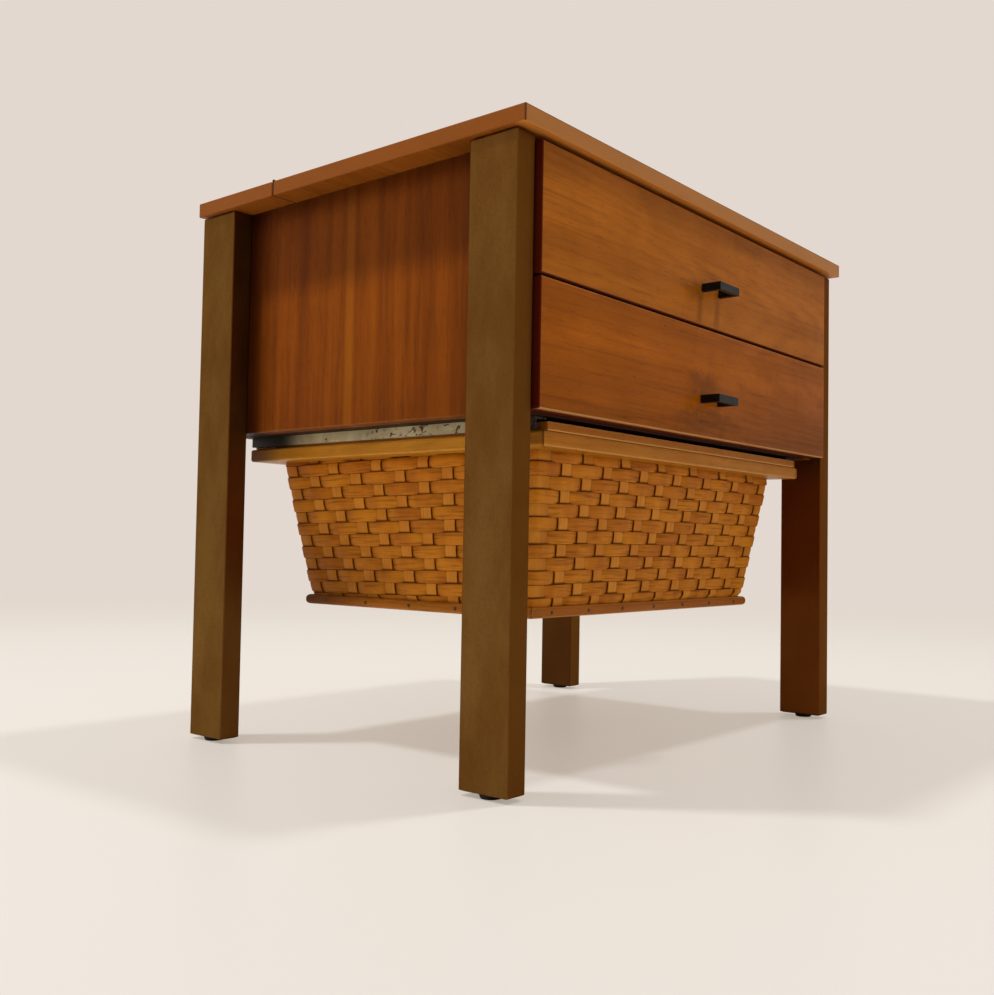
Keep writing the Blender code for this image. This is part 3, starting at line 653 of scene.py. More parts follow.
def chip_finish(name, colours, fibres, roughness):
    """Split wood chip: fibres along the strip, tone from strip to strip, painted shade where strips cross and
    low at the back left.
    """
    material, tree, shader, place = new_material(name)
    uv = tree.node("UVMap", uv_map="strip").outputs[0]
    figure = tree.place(WOOD_FIGURE, {"Vector": uv, "Ring Width": 0.0023, "Pith Depth": 0.02, "Taper": 0.1,
                                      "Wander": 0.014})
    pale, deep, line = (rgb(c) for c in colours)
    patches = tree.smooth(tree.noise(uv, (24.0, 19.0, 1.0), 3.0, 0.6), 0.3, 0.7)
    colour = tree.mix(patches, deep, pale)
    streaks = tree.smooth(tree.noise(uv, (22.0, 330.0, 1.0), 3.0, 0.6), 0.46, 0.72)
    lines = tree.math("MULTIPLY_ADD", streaks, fibres, tree.math("MULTIPLY", figure["Ring"], 0.16),
                      clamp=True)
    colour = add_layers(tree, place, tree.mix(lines, colour, line), [spot(*WEAVE_PAINTED_SHADE)])
    # Painted shade where strips cross, from the crevice attribute
    crevice = tree.node("Attribute", attribute_name="crevice").outputs["Fac"]
    colour = tree.mix(tree.math("MULTIPLY", crevice, 0.9), colour, rgb(CREVICE_COLOUR))
    tree.feed(shader.inputs["Base Color"], colour)
    dull = tree.math("MULTIPLY_ADD", lines, 0.14, roughness)
    tree.feed(shader.inputs["Roughness"], tree.math("MULTIPLY_ADD", crevice, 0.4, dull, clamp=True))
    shader.inputs["Specular IOR Level"].default_value = 0.12
    add_bump(tree, shader, tree.math("MULTIPLY", lines, -1.0), GRAIN_DEPTH)
    return material


def build_weave():
    """The woven walls: rings of flat chip through upright stakes."""
    chance = random.Random(WEAVE_SEED)
    stakes = plan_stakes(chance)
    weavers = bmesh.new()
    layers = strip_layers(weavers)
    for row in range(ROW_COUNT):
        add_weaver(weavers, layers, stakes, row, chance)
    thicken_strips(weavers, layers, CHIP_THICKNESS)
    walls = [f"basket_wall_{word}" for word in ("front", "back", "left", "right")]
    add_piece(weavers, "basket_weavers", "basket",
              chip_finish("chip_weaver", ("#dc8818", "#be6a0e", "#6c3104"), 0.5, 0.5), walls)
    uprights = bmesh.new()
    layers = strip_layers(uprights)
    for index, stake in enumerate(stakes):
        add_stake(uprights, layers, index, stake)
    thicken_strips(uprights, layers, CHIP_THICKNESS)
    stake_chip = chip_finish("chip_stake", ("#e0902a", "#cc7a1a", "#9a540e"), 0.22, 0.48)
    add_piece(uprights, "basket_stakes", "basket", stake_chip)
    packing = bmesh.new()
    layers = strip_layers(packing)
    for row in range(ROW_COUNT - 1):
        add_packing(packing, layers, row)
    thicken_strips(packing, layers, PACKING_THICKNESS)
    add_piece(packing, "basket_packing", "basket", stake_chip)


def build_base_ring():
    """The flat ring under the weave, between the basket's bottom and its base strips."""
    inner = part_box("basket_bottom")[1]
    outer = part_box("basket_base_strip_right")[0].x - RING_GAP
    half = Vector((outer, outer - inner.x + inner.y - BASKET_Y, 1.0))
    place = Matrix.Translation((0, BASKET_Y, WALL_LOW_Z + CHIP_THICKNESS)) @ Matrix.Diagonal(half).to_4x4()
    bm = bmesh.new()
    bmesh.ops.create_grid(bm, x_segments=1, y_segments=1, size=1.0, matrix=place)
    middle = bm.faces[:]
    bmesh.ops.inset_region(bm, faces=middle, thickness=outer - inner.x - RING_GAP, use_boundary=True,
                           use_even_offset=True)
    bmesh.ops.delete(bm, geom=middle, context="FACES")
    bmesh.ops.solidify(bm, geom=bm.faces[:], thickness=CHIP_THICKNESS)
    add_piece(bm, "basket_base_ring", "basket",
              wood("base_ring_wood", "basket_bottom", "x", "y", STRIP_BROWN, arris_wear_and_highlight_strength=0.0, roughness=0.5))


def strip_nails(nodes, pitch):
    """The places of nails along the outer faces of these strips, each with its outward way."""
    for node in nodes:
        low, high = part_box(node)
        middle = (low + high) / 2
        lengthwise = 0 if high.x - low.x > high.y - low.y else 1
        side = 1 - lengthwise
        outward = Vector((0.0, 0.0, 0.0))
        outward[side] = 1 if middle[side] > (BASKET_Y if side == 1 else 0.0) else -1
        count = round((high[lengthwise] - low[lengthwise]) / pitch)
        for i in range(count):
            place = middle.copy()
            place[lengthwise] = low[lengthwise] + (i + 0.5) * (high[lengthwise] - low[lengthwise]) / count
            place[side] = high[side] if outward[side] > 0 else low[side]
            yield place, outward


def screw_head(radius, height, slotted):
    """A round head that stands on its face along Z, with a softened rim and a slot for the driver."""
    head = bmesh.new()
    bmesh.ops.create_cone(head, cap_ends=True, segments=14, radius1=radius, radius2=radius, depth=height,
                          matrix=Matrix.Translation((0, 0, height / 2)))
    rim = [e for e in head.edges if all(v.co.z > height * 0.9 for v in e.verts)]
    bmesh.ops.bevel(head, geom=rim, offset=height * 0.55, segments=2, profile=0.5, affect="EDGES",
                    material=-1)
    if slotted:
        half = radius * 0.15
        for side in (half, -half):
            bmesh.ops.bisect_plane(head, geom=head.verts[:] + head.edges[:] + head.faces[:],
                                   plane_co=(0, side, 0), plane_no=(0, 1, 0))
        floor = [f for f in head.faces if f.normal.z > 0.9 and abs(f.calc_center_median().y) < half]
        sunk = bmesh.ops.extrude_face_region(head, geom=floor)["geom"]
        bmesh.ops.translate(head, vec=(0, 0, -height * 0.4),
                            verts=[v for v in sunk if isinstance(v, bmesh.types.BMVert)])
    mesh = bpy.data.meshes.new("head")
    head.to_mesh(mesh)
    head.free()
    return mesh


def add_heads(name, body, places, radius, height, material, slotted=True):
    """Heads of nails, screws or bolts at these places, each with the way that it faces."""
    bm = bmesh.new()
    mesh = screw_head(radius, height, slotted)
    for i, (place, outward) in enumerate(places):
        turn = (Matrix.Translation(place) @ Vector(outward).to_track_quat("Z", "Y").to_matrix().to_4x4()
                @ Matrix.Rotation(0.7 * i, 4, "Z"))
        start = len(bm.verts)
        bm.from_mesh(mesh)
        bm.verts.ensure_lookup_table()
        bmesh.ops.transform(bm, matrix=turn, verts=bm.verts[start:])
    bpy.data.meshes.remove(mesh)
    return add_piece(bm, name, body, material)


def build_glides():
    """A round glide under each leg, on the plug that closes the tube; they stand for the plastic feet."""
    plastic = plastic_finish("glide_plastic", "#150e09", "#2a1f16")
    for end in ("front", "back"):
        for side in ("left", "right"):
            low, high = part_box(f"leg_{end}_{side}")
            middle = (low + high) / 2
            bore = high - low - 2 * Vector((TUBE_CLEARANCE, TUBE_CLEARANCE, 0.0))
            plug_place = Matrix.Translation((middle.x, middle.y, low.z - PLUG_DROP + PLUG_HEIGHT / 2))
            bm = bmesh.new()
            bmesh.ops.create_cube(bm, size=1.0,
                                  matrix=plug_place @ Matrix.Diagonal((bore.x, bore.y, PLUG_HEIGHT, 1.0)))
            bmesh.ops.bevel(bm, geom=bm.edges[:], offset=PLUG_ARRIS, segments=2, profile=0.5,
                            affect="EDGES", material=-1)
            glide_place = Matrix.Translation((middle.x, middle.y, GLIDE_HEIGHT / 2))
            glide = bmesh.ops.create_cone(
                bm, cap_ends=True, segments=32, radius1=GLIDE_RADIUS - GLIDE_TAPER, radius2=GLIDE_RADIUS,
                depth=GLIDE_HEIGHT, matrix=glide_place)["verts"]
            rim = {edge for vert in glide for edge in vert.link_edges
                   if all(v.co.z < 0.0001 for v in edge.verts)}
            bmesh.ops.bevel(bm, geom=list(rim), offset=GLIDE_RIM, segments=2, profile=0.5,
                            affect="EDGES", material=-1)
            add_piece(bm, f"glide_{end}_{side}", "cabinet", plastic, (f"foot_{end}_{side}",))


def build_fasteners():
    """Basket nails, and the screws and bolts that hold runners, legs, pulls, hinge and back."""
    steel = metal_finish("screw_steel", "#8d8370", "#6a5c46", 0.85, 0.38)
    rusty = metal_finish("nail_steel", "#4a2a12", "#5c3a1e", 0.2, 0.6)
    brass = metal_finish("screw_brass", "#8a6a34", "#5d4420", 0.85, 0.38)
    strips = [f"basket_base_strip_{word}" for word in ("front", "back", "left", "right")]
    nails = [(place - outward * NAIL_SUNK, outward) for place, outward in strip_nails(strips, NAIL_PITCH)]
    add_heads("basket_base_nails", "basket", nails, 0.0018, 0.0007, rusty, slotted=False)

    runner_low, runner_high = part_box("basket_runner_right")
    flange = Vector(((runner_low.x + runner_high.x) / 2, 0.0, runner_high.z - RUNNER_SHEET + SUNK))
    pitch = (runner_high.y - runner_low.y) / RUNNER_SCREW_COUNT
    spread = [runner_low.y + (i + 0.5) * pitch for i in range(RUNNER_SCREW_COUNT)]
    add_heads("runner_screws", "cabinet",
              [(Vector((side * flange.x, y, flange.z)), (0, 0, -1)) for side in (-1, 1) for y in spread],
              0.003, 0.0008, steel)

    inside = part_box("side_panel_right")[0].x
    bolts = []
    for corner in ("front", "back"):
        low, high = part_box(f"leg_{corner}_right")
        bolts += [(Vector((side * (inside + SUNK), (low.y + high.y) / 2, z)), (-side, 0, 0))
                  for side in (-1, 1) for z in LEG_BOLT_HEIGHTS]
    add_heads("leg_bolts", "cabinet", bolts, 0.005, 0.0021, steel)

    for drawer in ("upper", "lower"):
        grip_low, grip_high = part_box(f"{drawer}_drawer_pull")
        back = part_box(f"{drawer}_drawer_front")[1].y
        middle_z = (grip_low.z + grip_high.z) / 2
        places = [(Vector((side * (grip_high.x - PULL_BAR / 2), back - SUNK, middle_z)), (0, 1, 0))
                  for side in (-1, 1)]
        add_heads(f"{drawer}_drawer_pull_screws", f"{drawer}_drawer", places,
                  0.0036, 0.0022, steel)

    leaf_low, leaf_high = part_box("hinge_leaf_strip")
    seam = (leaf_low.y + leaf_high.y) / 2
    pitch = (leaf_high.x - leaf_low.x) / HINGE_SCREW_COUNT
    along = [leaf_low.x + (i + 0.5) * pitch for i in range(HINGE_SCREW_COUNT)]
    for word, body, way in (("lid", "lid", 1), ("strip", "cabinet", -1)):
        face = seam - way * (HINGE_GAP / 2 + HINGE_SCREW_SUNK)
        places = [(Vector((x, face, leaf_low.z + HINGE_SCREW_RISE)), (0, way, 0)) for x in along]
        add_heads(f"hinge_screws_{word}", body, places, 0.0022, 0.00036, brass)

    back_low, back_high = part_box("back_panel")
    pitch = (back_high.x - back_low.x - 2 * BACK_SCREW_MARGIN) / (BACK_SCREW_COUNT - 1)
    row = Vector((back_low.x + BACK_SCREW_MARGIN, back_high.y - SUNK, back_low.z + BACK_SCREW_RISE))
    places = [(row + Vector((i * pitch, 0, 0)), (0, 1, 0)) for i in range(BACK_SCREW_COUNT)]
    add_heads("back_screws", "cabinet", places, 0.003, 0.0009, steel)


# Finishes of the CAD nodes
UPPER_WALNUT = ("#c8731b", "#ac6012", "#7a3d08", "#552606")
LOWER_WALNUT = ("#c4690c", "#a45605", "#713503", "#4c2002")
SIDE_WALNUT = ("#9f500a", "#763705", "#4e2003", "#361402")
TOP_WALNUT = ("#b0621c", "#955013", "#6c360a", "#4c2205")
# Near black, as painted shade for the gap under the drawers
BOTTOM_WALNUT_PAINTED_SHADE = ("#3a1c08", "#2a1405", "#1e0e04", "#120802")
PALE_BEECH = ("#d9b789", "#c79f6c", "#b0834f", "#8d6339")
RAIL_HONEY = ("#de9428", "#c77c1b", "#9e5b0e", "#703c07")
CAP_HONEY = ("#cc7c1f", "#b46613", "#8a4a0a", "#602f05")
STRIP_BROWN = ("#c4761d", "#a75c12", "#7a3f08", "#4c2204")

# Smudge marks round the pulls, and painted shadows that the pulls cast down the drawer fronts: place across
# and up, reach across and up, strength
UPPER_SMUDGES_AND_PULL_SHADOWS = (
    (-0.25, 0.507, 0.06, 0.022, 0.18),
    (-0.095, 0.505, 0.06, 0.02, 0.16),
    (0.07, 0.51, 0.06, 0.014, 0.16),
    (-0.034, 0.445, 0.026, 0.014, 0.36),
    # Painted shadows of the upper pull's legs
    (-0.022, 0.427, 0.008, 0.026, 0.3),
    (0.012, 0.427, 0.008, 0.03, 0.34),
)
LOWER_SMUDGES_AND_PULL_SHADOWS = (
    (-0.018, 0.356, 0.036, 0.017, 0.38),
    (-0.02, 0.318, 0.09, 0.018, 0.3),
)


def front_finish(node, colours, pith_z, taper, lower_arris, lower_darkening, smudges_and_pull_shadows):
    """Walnut veneer on a drawer front: painted shade on its ends, on its underside and under the top, a
    painted highlight on its top arris, a pale bare lower arris with a painted highlight, smudge marks round
    the pull with the pull's painted shadows below it, and darker towards the lower right and the bottom.
    """
    low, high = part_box(node)
    # Smudge marks and the pulls' painted shadows
    layers = [spot((x, low.y, z), (wide, 0.02, tall), 1.7, "#5a2c00", strength)
              for x, z, wide, tall, strength in smudges_and_pull_shadows]
    # Darker towards the lower right and the bottom; a painted shadow under the top; a painted highlight on
    # the top arris; painted shade on the underside; a pale lower arris, bare wood with a painted highlight
    layers += [spot((high.x - 0.03, low.y, low.z + 0.02), (0.34, 0.02, 0.09), 0.6, "#4a1f03", lower_darkening),
               band("z", low.z, 0.03, 0.03, "#4a1f00", 0.6 * lower_darkening),
               band("z", high.z, 0.012, 0.012, "#4a1f00", 0.2),
               band("z", high.z, 0.0008, 0.0004, "#c07a3c", 0.4),
               band("z", low.z, 0.0005, 0.0003, "#5e1206", 0.92),
               spot((0, low.y, low.z), (3.0, 0.008, 0.0014), 0.0, "#d09a58", lower_arris)]
    # Painted shade on the ends, for the shade in the gaps beside the legs
    layers += [band("x", end, 0.0009, 0.0004, "#4d0d06", 0.95) for end in (low.x, high.x)]
    return wood(node + "_walnut", node, "x", "z", colours, ring_width=0.0068, pith_depth=0.045, taper=taper,
                wander=0.04, ring_strength=0.2, fibre_strength=0.36, pore_strength=0.45, arris_wear_and_highlight_strength=0.2,
                roughness=0.4, centre=(0.03, -0.19, pith_z), gloss=0.055, layers=layers)


def side_finish(node, side):
    """Dark walnut on a side panel, with one bright stripe: painted shade under the top and beside the legs,
    and darker towards the bottom.
    """
    back_leg, front_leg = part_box(f"leg_back_{side}")[0].y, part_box(f"leg_front_{side}")[1].y
    layers = [band("y", STRIPE_Y, 0.0055, 0.003, "#bb6a12", 0.42),
              band("y", STRIPE_Y - 0.031, 0.004, 0.003, "#a8590c", 0.3),
              # Painted shade under the top, and a painted shadow just under it
              band("z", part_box(node)[1].z, 0.088, 0.014, "#3c1503", 0.3),
              band("z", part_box(node)[1].z, 0.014, 0.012, "#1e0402", 0.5),
              # Painted shade beside the back and front legs, where their shadows fall
              band("y", back_leg, 0.022, 0.022, "#1e0402", 0.8),
              band("y", front_leg, 0.045, 0.045, "#2c0e02", 0.34),
              # Darker towards the bottom
              band("z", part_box(node)[0].z, 0.035, 0.03, "#2c0e02", 0.12)]
    return wood(node + "_walnut", node, "z", "y", SIDE_WALNUT, ring_width=0.014, pith_depth=0.02, taper=0.03,
                wander=0.03, ring_strength=0.24, fibre_strength=0.22, roughness=0.42, gloss=0.05,
                layers=layers)


def top_finish(node):
    """Walnut top with paler lipping along its front edge; under the lid's front edge a paler strip of bare
    wood carries painted light.
    """
    low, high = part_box(node)
    layers = [band("z", high.z, 0.0006, 0.0003, "#7a4316", 0.45)]
    layers += [band("x", end, 0.0012, 0.0003, "#935014", 0.8) for end in (low.x, high.x)]
    if node == "lid":
        layers += [band("y", low.y, 0.0012, 0.0003, "#cb8a4a", 0.62),
                   # Paler strip under the front edge: bare wood, lightened with painted light against the
                   # shade under the overhang
                   spot((0, low.y, low.z), (3.0, 0.014, 0.0008), 0.0, "#dc8a3a", 0.8),
                   spot((0, low.y, high.z), (3.0, 0.0016, 0.0016), 0.0, "#4a2408", 0.6)]
        layers += [spot((end, low.y, high.z), (0.0022, 0.0022, 1.0), 0.0, "#4c1d04", 0.85)
                   for end in (low.x, high.x)]
    return wood(node + "_walnut", node, "x", "y", TOP_WALNUT, ring_width=0.0065, pith_depth=0.05,
                wander=0.035, ring_strength=0.34, fibre_strength=0.4, arris_wear_and_highlight_strength=0.12, roughness=0.4,
                layers=layers)


def bronze_finish(node):
    """Satin bronze lacquer on a leg: blotchy mottle, painted shade on the narrow and inner faces, softly worn
    arrises.
    """
    material, tree, shader, place = new_material(node + "_bronze")
    low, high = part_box(node)
    vector = tree.node("Mapping", {"Vector": place, "Location": -(low + high) / 2}).outputs[0]
    mottle = tree.noise(vector, (30.0, 30.0, 12.0), 5.0, 0.6)
    speckle = tree.noise(vector, (520.0, 520.0, 420.0), 2.0, 0.6)
    deep, pale = ("#6d471e", "#7b5729") if low.y < 0 else ("#6f4c25", "#7d5c30")
    colour = tree.mix(tree.smooth(mottle, 0.3, 0.7), rgb(deep), rgb(pale))
    colour = tree.mix(tree.math("MULTIPLY", tree.smooth(speckle, 0.4, 0.75), 0.3), colour, rgb("#583a12"))
    edges = edge_nodes(tree, place, node, 0.0013, 1.8)
    colour = tree.mix(tree.math("MULTIPLY", edges["Near Arris"], 0.3), colour, rgb("#a07a40"))
    inner = high.x if high.x < 0 else low.x
    # Painted shade on the narrow faces and the inner face, deeper on the back legs' inner faces
    layers = [band("y", end, 0.0008, 0.0003, "#633c14", 0.8) for end in (low.y, high.y)]
    layers.append(band("x", inner, 0.0008, 0.0003, "#6b350f" if low.y < 0 else "#46240a", 0.85))
    scuffs = tree.place(SCUFFS, {"Vector": place, "Size": 0.03})
    colour = tree.mix(tree.math("MULTIPLY", scuffs["Scratch"], 0.25), add_layers(tree, place, colour, layers),
                      rgb("#a5824e"))
    tree.feed(shader.inputs["Base Color"], colour)
    shader.inputs["Metallic"].default_value = 0.9
    shader.inputs["Specular Tint"].default_value = rgb("#dcb684")
    dull = tree.math("MULTIPLY_ADD", scuffs["Cloud"], 0.12, 0.38)
    tree.feed(shader.inputs["Roughness"], tree.math("MULTIPLY_ADD", edges["Near Arris"], -0.06, dull))
    pits = tree.math("MULTIPLY_ADD", mottle, 0.7, tree.math("MULTIPLY", speckle, 0.3))
    add_bump(tree, shader, pits, 0.00008)
    return material


def zinc_finish(node):
    """Pale zinc sheet with cloudy spangle, clusters of rust towards the front, a painted shadow of the back
    leg over its back end, and a dark front end.
    """
    material, tree, shader, place = new_material(node + "_zinc")
    low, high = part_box(node)
    cells = tree.node("TexVoronoi", {"Vector": place, "Scale": 90.0}).outputs["Color"]
    spangle = tree.node("SeparateColor", {0: cells}).outputs[0]
    colour = tree.mix(spangle, rgb("#c6b385"), rgb("#dac99c"))
    scuffs = tree.place(SCUFFS, {"Vector": place, "Size": 0.05})
    colour = tree.mix(tree.math("MULTIPLY", scuffs["Cloud"], 0.4), colour, rgb("#84704c"))
    blotch = tree.smooth(tree.noise(place, (180.0, 180.0, 230.0), 2.0), 0.57, 0.62)
    frontward = tree.math("MULTIPLY", tree.node("SeparateXYZ", {0: place}).outputs[1], -1.3)
    patch = tree.smooth(tree.math("ADD", frontward, tree.noise(place, (30.0, 30.0, 60.0), 2.0)), 0.44, 0.6)
    rust = tree.math("MULTIPLY", blotch, patch)
    colour = tree.mix(tree.math("MULTIPLY", rust, 0.9), colour, rgb("#2c1d0c"))
    # A painted shadow of the back leg over the back end, and a darker front end
    colour = add_layers(tree, place, colour, [band("y", high.y, 0.07, 0.025, "#0c0803", 0.98),
                                              band("y", low.y, 0.014, 0.006, "#1c0f06", 0.9)])
    tree.feed(shader.inputs["Base Color"], colour)
    tree.feed(shader.inputs["Metallic"], tree.math("MULTIPLY_ADD", rust, -0.3, 0.35))
    tree.feed(shader.inputs["Roughness"], tree.math("MULTIPLY_ADD", rust, 0.35, 0.45))
    add_bump(tree, shader, rust, 0.0001)
    return material


def metal_finish(name, colour, worn, metallic, roughness):
    """A plain metal with cloudy dulling and fine scratches."""
    material, tree, shader, place = new_material(name)
    scuffs = tree.place(SCUFFS, {"Vector": place, "Size": 0.02})
    clouds = tree.math("MULTIPLY", scuffs["Cloud"], 0.5)
    tree.feed(shader.inputs["Base Color"], tree.mix(clouds, rgb(colour), rgb(worn)))
    shader.inputs["Metallic"].default_value = metallic
    tree.feed(shader.inputs["Roughness"], tree.math("MULTIPLY_ADD", scuffs["Cloud"], 0.15, roughness))
    add_bump(tree, shader, scuffs["Scratch"], 0.00004)
    return material


def lacquer_finish(node):
    """Black lacquer on a pull, a little grey where fingers and edges wear it."""
    material, tree, shader, place = new_material(node + "_lacquer")
    edges = edge_nodes(tree, place, node, 0.0012, 1.8)
    scuffs = tree.place(SCUFFS, {"Vector": place, "Size": 0.02})
    colour = tree.mix(scuffs["Cloud"], rgb("#040303"), rgb("#0a0806"))
    colour = tree.mix(tree.math("MULTIPLY", edges["Near Arris"], 0.2), colour, rgb("#4a4236"))
    tree.feed(shader.inputs["Base Color"], colour)
    shader.inputs["Specular IOR Level"].default_value = 0.2
    tree.feed(shader.inputs["Roughness"], tree.math("MULTIPLY_ADD", scuffs["Cloud"], 0.12, 0.34))
    grain = tree.noise(place, (900.0, 900.0, 900.0), 2.0)
    add_bump(tree, shader, grain, 0.00003)
    return material


def plastic_finish(name, colour, worn):
    """Moulded plastic with a fine grain and cloudy dust."""
    material, tree, shader, place = new_material(name)
    scuffs = tree.place(SCUFFS, {"Vector": place, "Size": 0.015})
    clouds = tree.math("MULTIPLY", scuffs["Cloud"], 0.6)
    tree.feed(shader.inputs["Base Color"], tree.mix(clouds, rgb(colour), rgb(worn)))
    shader.inputs["Specular IOR Level"].default_value = 0.2
    tree.feed(shader.inputs["Roughness"], tree.math("MULTIPLY_ADD", scuffs["Cloud"], 0.15, 0.5))
    add_bump(tree, shader, tree.noise(place, (1500.0, 1500.0, 1500.0), 2.0), 0.00004)
    return material


def finish_cabinet():
    for node in ("lid", "top_rear_strip"):
        finish(node, top_finish(node))
    for side in ("left", "right"):
        finish(f"side_panel_{side}", side_finish(f"side_panel_{side}", side))
        finish(f"basket_runner_{side}", zinc_finish(f"basket_runner_{side}"))
    finish("back_panel", wood("back_walnut", "back_panel", "x", "z", SIDE_WALNUT, ring_width=0.008,
                              pith_depth=0.05, roughness=0.5))
    # The bottom board and divider are dark as painted shade
    for node, name, across in (("bottom_board", "bottom_board_walnut", "y"),
                               ("drawer_divider", "divider_walnut_painted_shade", "z")):
        finish(node, wood(name, node, "x", across, BOTTOM_WALNUT_PAINTED_SHADE, arris_wear_and_highlight_strength=0.0, roughness=0.6))
    for front_back in ("front", "back"):
        for side in ("left", "right"):
            finish(f"leg_{front_back}_{side}", bronze_finish(f"leg_{front_back}_{side}"))
    foot = plastic_finish("foot_plastic", "#17130f", "#2a2520")
    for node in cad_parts:
        if node.startswith("foot_"):
            finish(node, foot)
    brass = metal_finish("hinge_brass", "#5a3f1e", "#3a2812", 0.8, 0.42)
    for node in ("hinge_leaf_lid", "hinge_leaf_strip", "hinge_pin"):
        finish(node, brass)


def finish_drawers():
    for drawer, *looks in (
            ("upper", UPPER_WALNUT, 0.44, 0.1, 0.1, 0.08, UPPER_SMUDGES_AND_PULL_SHADOWS),
            ("lower", LOWER_WALNUT, 0.39, -0.07, 0.95, 0.4, LOWER_SMUDGES_AND_PULL_SHADOWS)):
        front = f"{drawer}_drawer_front"
        finish(front, front_finish(front, *looks))
        finish(f"{drawer}_drawer_pull", lacquer_finish(f"{drawer}_drawer_pull"))
        for part in ("side_left", "side_right", "slide_strip_left", "slide_strip_right"):
            node = f"{drawer}_drawer_{part}"
            finish(node, wood(node + "_beech", node, "y", "z", PALE_BEECH, roughness=0.5))
        for part, across in (("back", "z"), ("bottom", "y")):
            node = f"{drawer}_drawer_{part}"
            finish(node, wood(node + "_beech", node, "x", across, PALE_BEECH, roughness=0.52))


def finish_basket():
    for word in ("front", "back", "left", "right"):
        along = "x" if word in ("front", "back") else "y"
        for part, colours, rough in (("rail", RAIL_HONEY, 0.36), ("cap", CAP_HONEY, 0.4),
                                     ("base_strip", STRIP_BROWN, 0.42)):
            node = f"basket_{part}_{word}"
            low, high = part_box(node)
            layers = []
            if word == "front":
                # Painted shade: the front parts darker and redder all over, and darker at the right end
                layers = [band("z", low.z, 0.1, 0.01, "#a4560a", 0.3),
                          band("x", high.x, 0.004, 0.003, "#3c2408", 0.5)]
                # Painted highlights on the upper and lower arrises
                layers += [spot((0, low.y, edge), (3.0, 0.004, 0.0016), 0.0, "#e6ac5c", 0.6)
                           for edge in (low.z, high.z)]
            if word == "left":
                # Painted shade towards the back end, where the back leg shades it, and darker at the front
                # end
                reach = 0.06 if part == "base_strip" else 0.03
                layers = [band("y", high.y, reach, reach, "#3c1402", 0.75),
                          band("y", low.y, 0.002, 0.001, "#4a1c04", 0.5)]
            # Painted shade on the cap's outer face, under the runner
            if part == "cap" and along == "y":
                end = low.x if word == "left" else high.x
                layers.append(band("x", end, 0.001, 0.0005, "#1e0402", 0.9))
            finish(node, wood(f"{node}_wood", node, along, "z", colours, ring_width=0.004, pith_depth=0.03,
                              wander=0.012, ring_strength=0.2, arris_wear_and_highlight="#e2a850", arris_wear_and_highlight_width=0.002,
                              arris_wear_and_highlight_strength=0.5, roughness=rough, layers=layers))
    finish("basket_bottom", wood("basket_bottom_ply", "basket_bottom", "x", "y", PALE_BEECH, roughness=0.55))


def add_camera():
    level_reach = math.cos(CAMERA_PITCH)
    forward = Vector((math.sin(CAMERA_YAW) * level_reach, math.cos(CAMERA_YAW) * level_reach,
                      math.sin(CAMERA_PITCH)))
    level = Vector((math.cos(CAMERA_YAW), -math.sin(CAMERA_YAW), 0.0))
    upright = level.cross(forward)
    right = level * math.cos(CAMERA_ROLL) + upright * math.sin(CAMERA_ROLL)
    up = upright * math.cos(CAMERA_ROLL) - level * math.sin(CAMERA_ROLL)
    data = bpy.data.cameras.new("camera")
    data.sensor_width = SENSOR_WIDTH
    data.lens = FOCAL_PIXELS / IMAGE_LONG_SIDE * SENSOR_WIDTH
    data.shift_x = (IMAGE_CENTRE[0] - PRINCIPAL_POINT[0]) / IMAGE_LONG_SIDE
    data.shift_y = (PRINCIPAL_POINT[1] - IMAGE_CENTRE[1]) / IMAGE_LONG_SIDE
    camera = bpy.data.objects.new("camera", data)
    turn = Matrix((right, up, -forward)).transposed().to_4x4()
    camera.matrix_world = Matrix.Translation(CAMERA_PLACE) @ turn
    bpy.context.scene.collection.objects.link(camera)
    bpy.context.scene.camera = camera


def add_lamp(name, lean, level):
    """An overhead lamp that adds this level to a white floor below it."""
    towards = lean.normalized()
    data = bpy.data.lights.new(name, "AREA")
    data.shape = "DISK"
    data.size = LAMP_SIZE
    data.energy = level / towards.z * (math.pi * LAMP_REACH) ** 2
    lamp = bpy.data.objects.new(name, data)
    lamp.matrix_world = (Matrix.Translation(LAMP_CENTRE + towards * LAMP_REACH)
                         @ towards.to_track_quat("Z", "Y").to_matrix().to_4x4())
    bpy.context.scene.collection.objects.link(lamp)


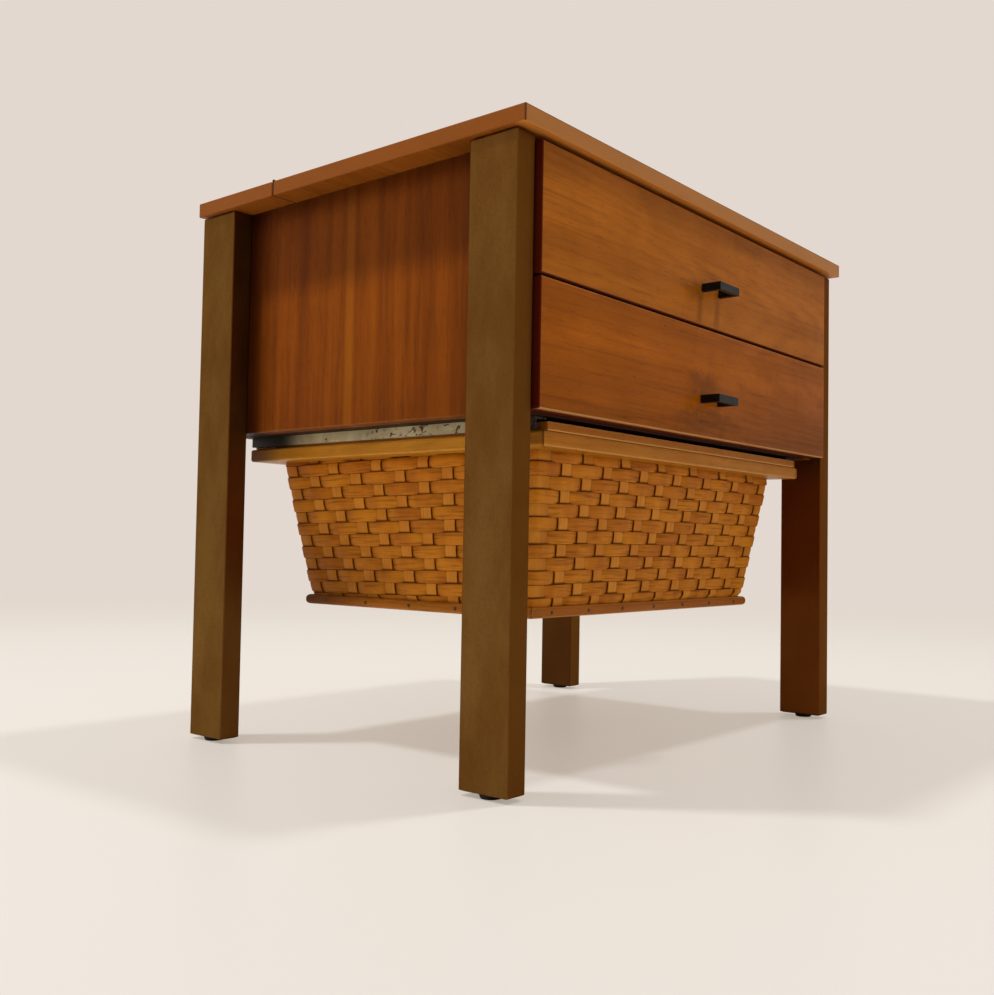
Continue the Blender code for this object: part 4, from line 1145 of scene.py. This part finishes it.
def add_room():
    """The pale room's light, which the camera and gloss see as the backdrop."""
    world = bpy.data.worlds.new("room")
    bpy.context.scene.world = world
    world.use_nodes = True
    tree = Tree(world.node_tree)
    lit = next(n for n in world.node_tree.nodes if n.type == "BACKGROUND")
    facing = tree.node("VectorMath", {0: tree.node("TexCoord").outputs["Generated"], 1: ROOM_BRIGHT_SIDE},
                       operation="DOT_PRODUCT").outputs["Value"]
    bright = tree.smooth(facing, -1.0, 1.0)
    tree.feed(lit.inputs["Color"], tree.mix(bright, rgb(ROOM_DIM_COLOUR), rgb(ROOM_COLOUR)))
    lit.inputs["Strength"].default_value = ROOM_LEVEL
    seen = tree.node("Background", {"Color": rgb(BACKDROP_COLOUR), "Strength": 1.0})
    path = tree.node("LightPath").outputs
    shown = tree.math("MAXIMUM", path["Is Camera Ray"],
                      tree.math("MAXIMUM", path["Is Glossy Ray"], path["Is Transmission Ray"]))
    mixed = tree.node("MixShader", {0: shown, 1: lit.outputs[0], 2: seen.outputs[0]})
    output = next(n for n in world.node_tree.nodes if n.type == "OUTPUT_WORLD")
    tree.feed(output.inputs["Surface"], mixed.outputs[0])


def add_floor():
    """A plain pale floor that fades into the backdrop far away."""
    bm = bmesh.new()
    bmesh.ops.create_circle(bm, cap_ends=True, segments=96, radius=FLOOR_REACH)
    mesh = bpy.data.meshes.new("floor")
    bm.to_mesh(mesh)
    bm.free()
    material, tree, shader, place = new_material("pale_floor")
    shader.inputs["Base Color"].default_value = rgb(FLOOR_COLOUR)
    shader.inputs["Roughness"].default_value = 0.42
    shader.inputs["Specular IOR Level"].default_value = 0.35
    far = tree.smooth(tree.node("VectorMath", {0: place}, operation="LENGTH").outputs["Value"], 1.2, 3.2)
    share = tree.math("MULTIPLY_ADD", far, 1.0 - FLOOR_SEEN_SHARE, FLOOR_SEEN_SHARE)
    seen = tree.math("MULTIPLY", share, tree.node("LightPath").outputs["Is Camera Ray"])
    fade = tree.mix(far, rgb(FLOOR_SEEN_COLOUR), rgb(BACKDROP_COLOUR))
    glow = tree.node("Emission", {"Color": fade, "Strength": 1.0})
    mixed = tree.node("MixShader", {0: seen, 1: shader.outputs[0], 2: glow.outputs[0]})
    output = next(n for n in material.node_tree.nodes if n.type == "OUTPUT_MATERIAL")
    tree.feed(output.inputs["Surface"], mixed.outputs[0])
    mesh.materials.append(material)
    floor = bpy.data.objects.new("floor", mesh)
    bpy.context.scene.collection.objects.link(floor)


bpy.context.scene.view_settings.view_transform = "Standard"
add_camera()
add_lamp("front_lamp", FRONT_LAMP_LEAN, FRONT_LAMP_LEVEL)
add_lamp("back_lamp", BACK_LAMP_LEAN, BACK_LAMP_LEVEL)
add_room()
add_floor()
finish_cabinet()
finish_drawers()
finish_basket()
build_weave()
build_base_ring()
build_glides()
build_fasteners()
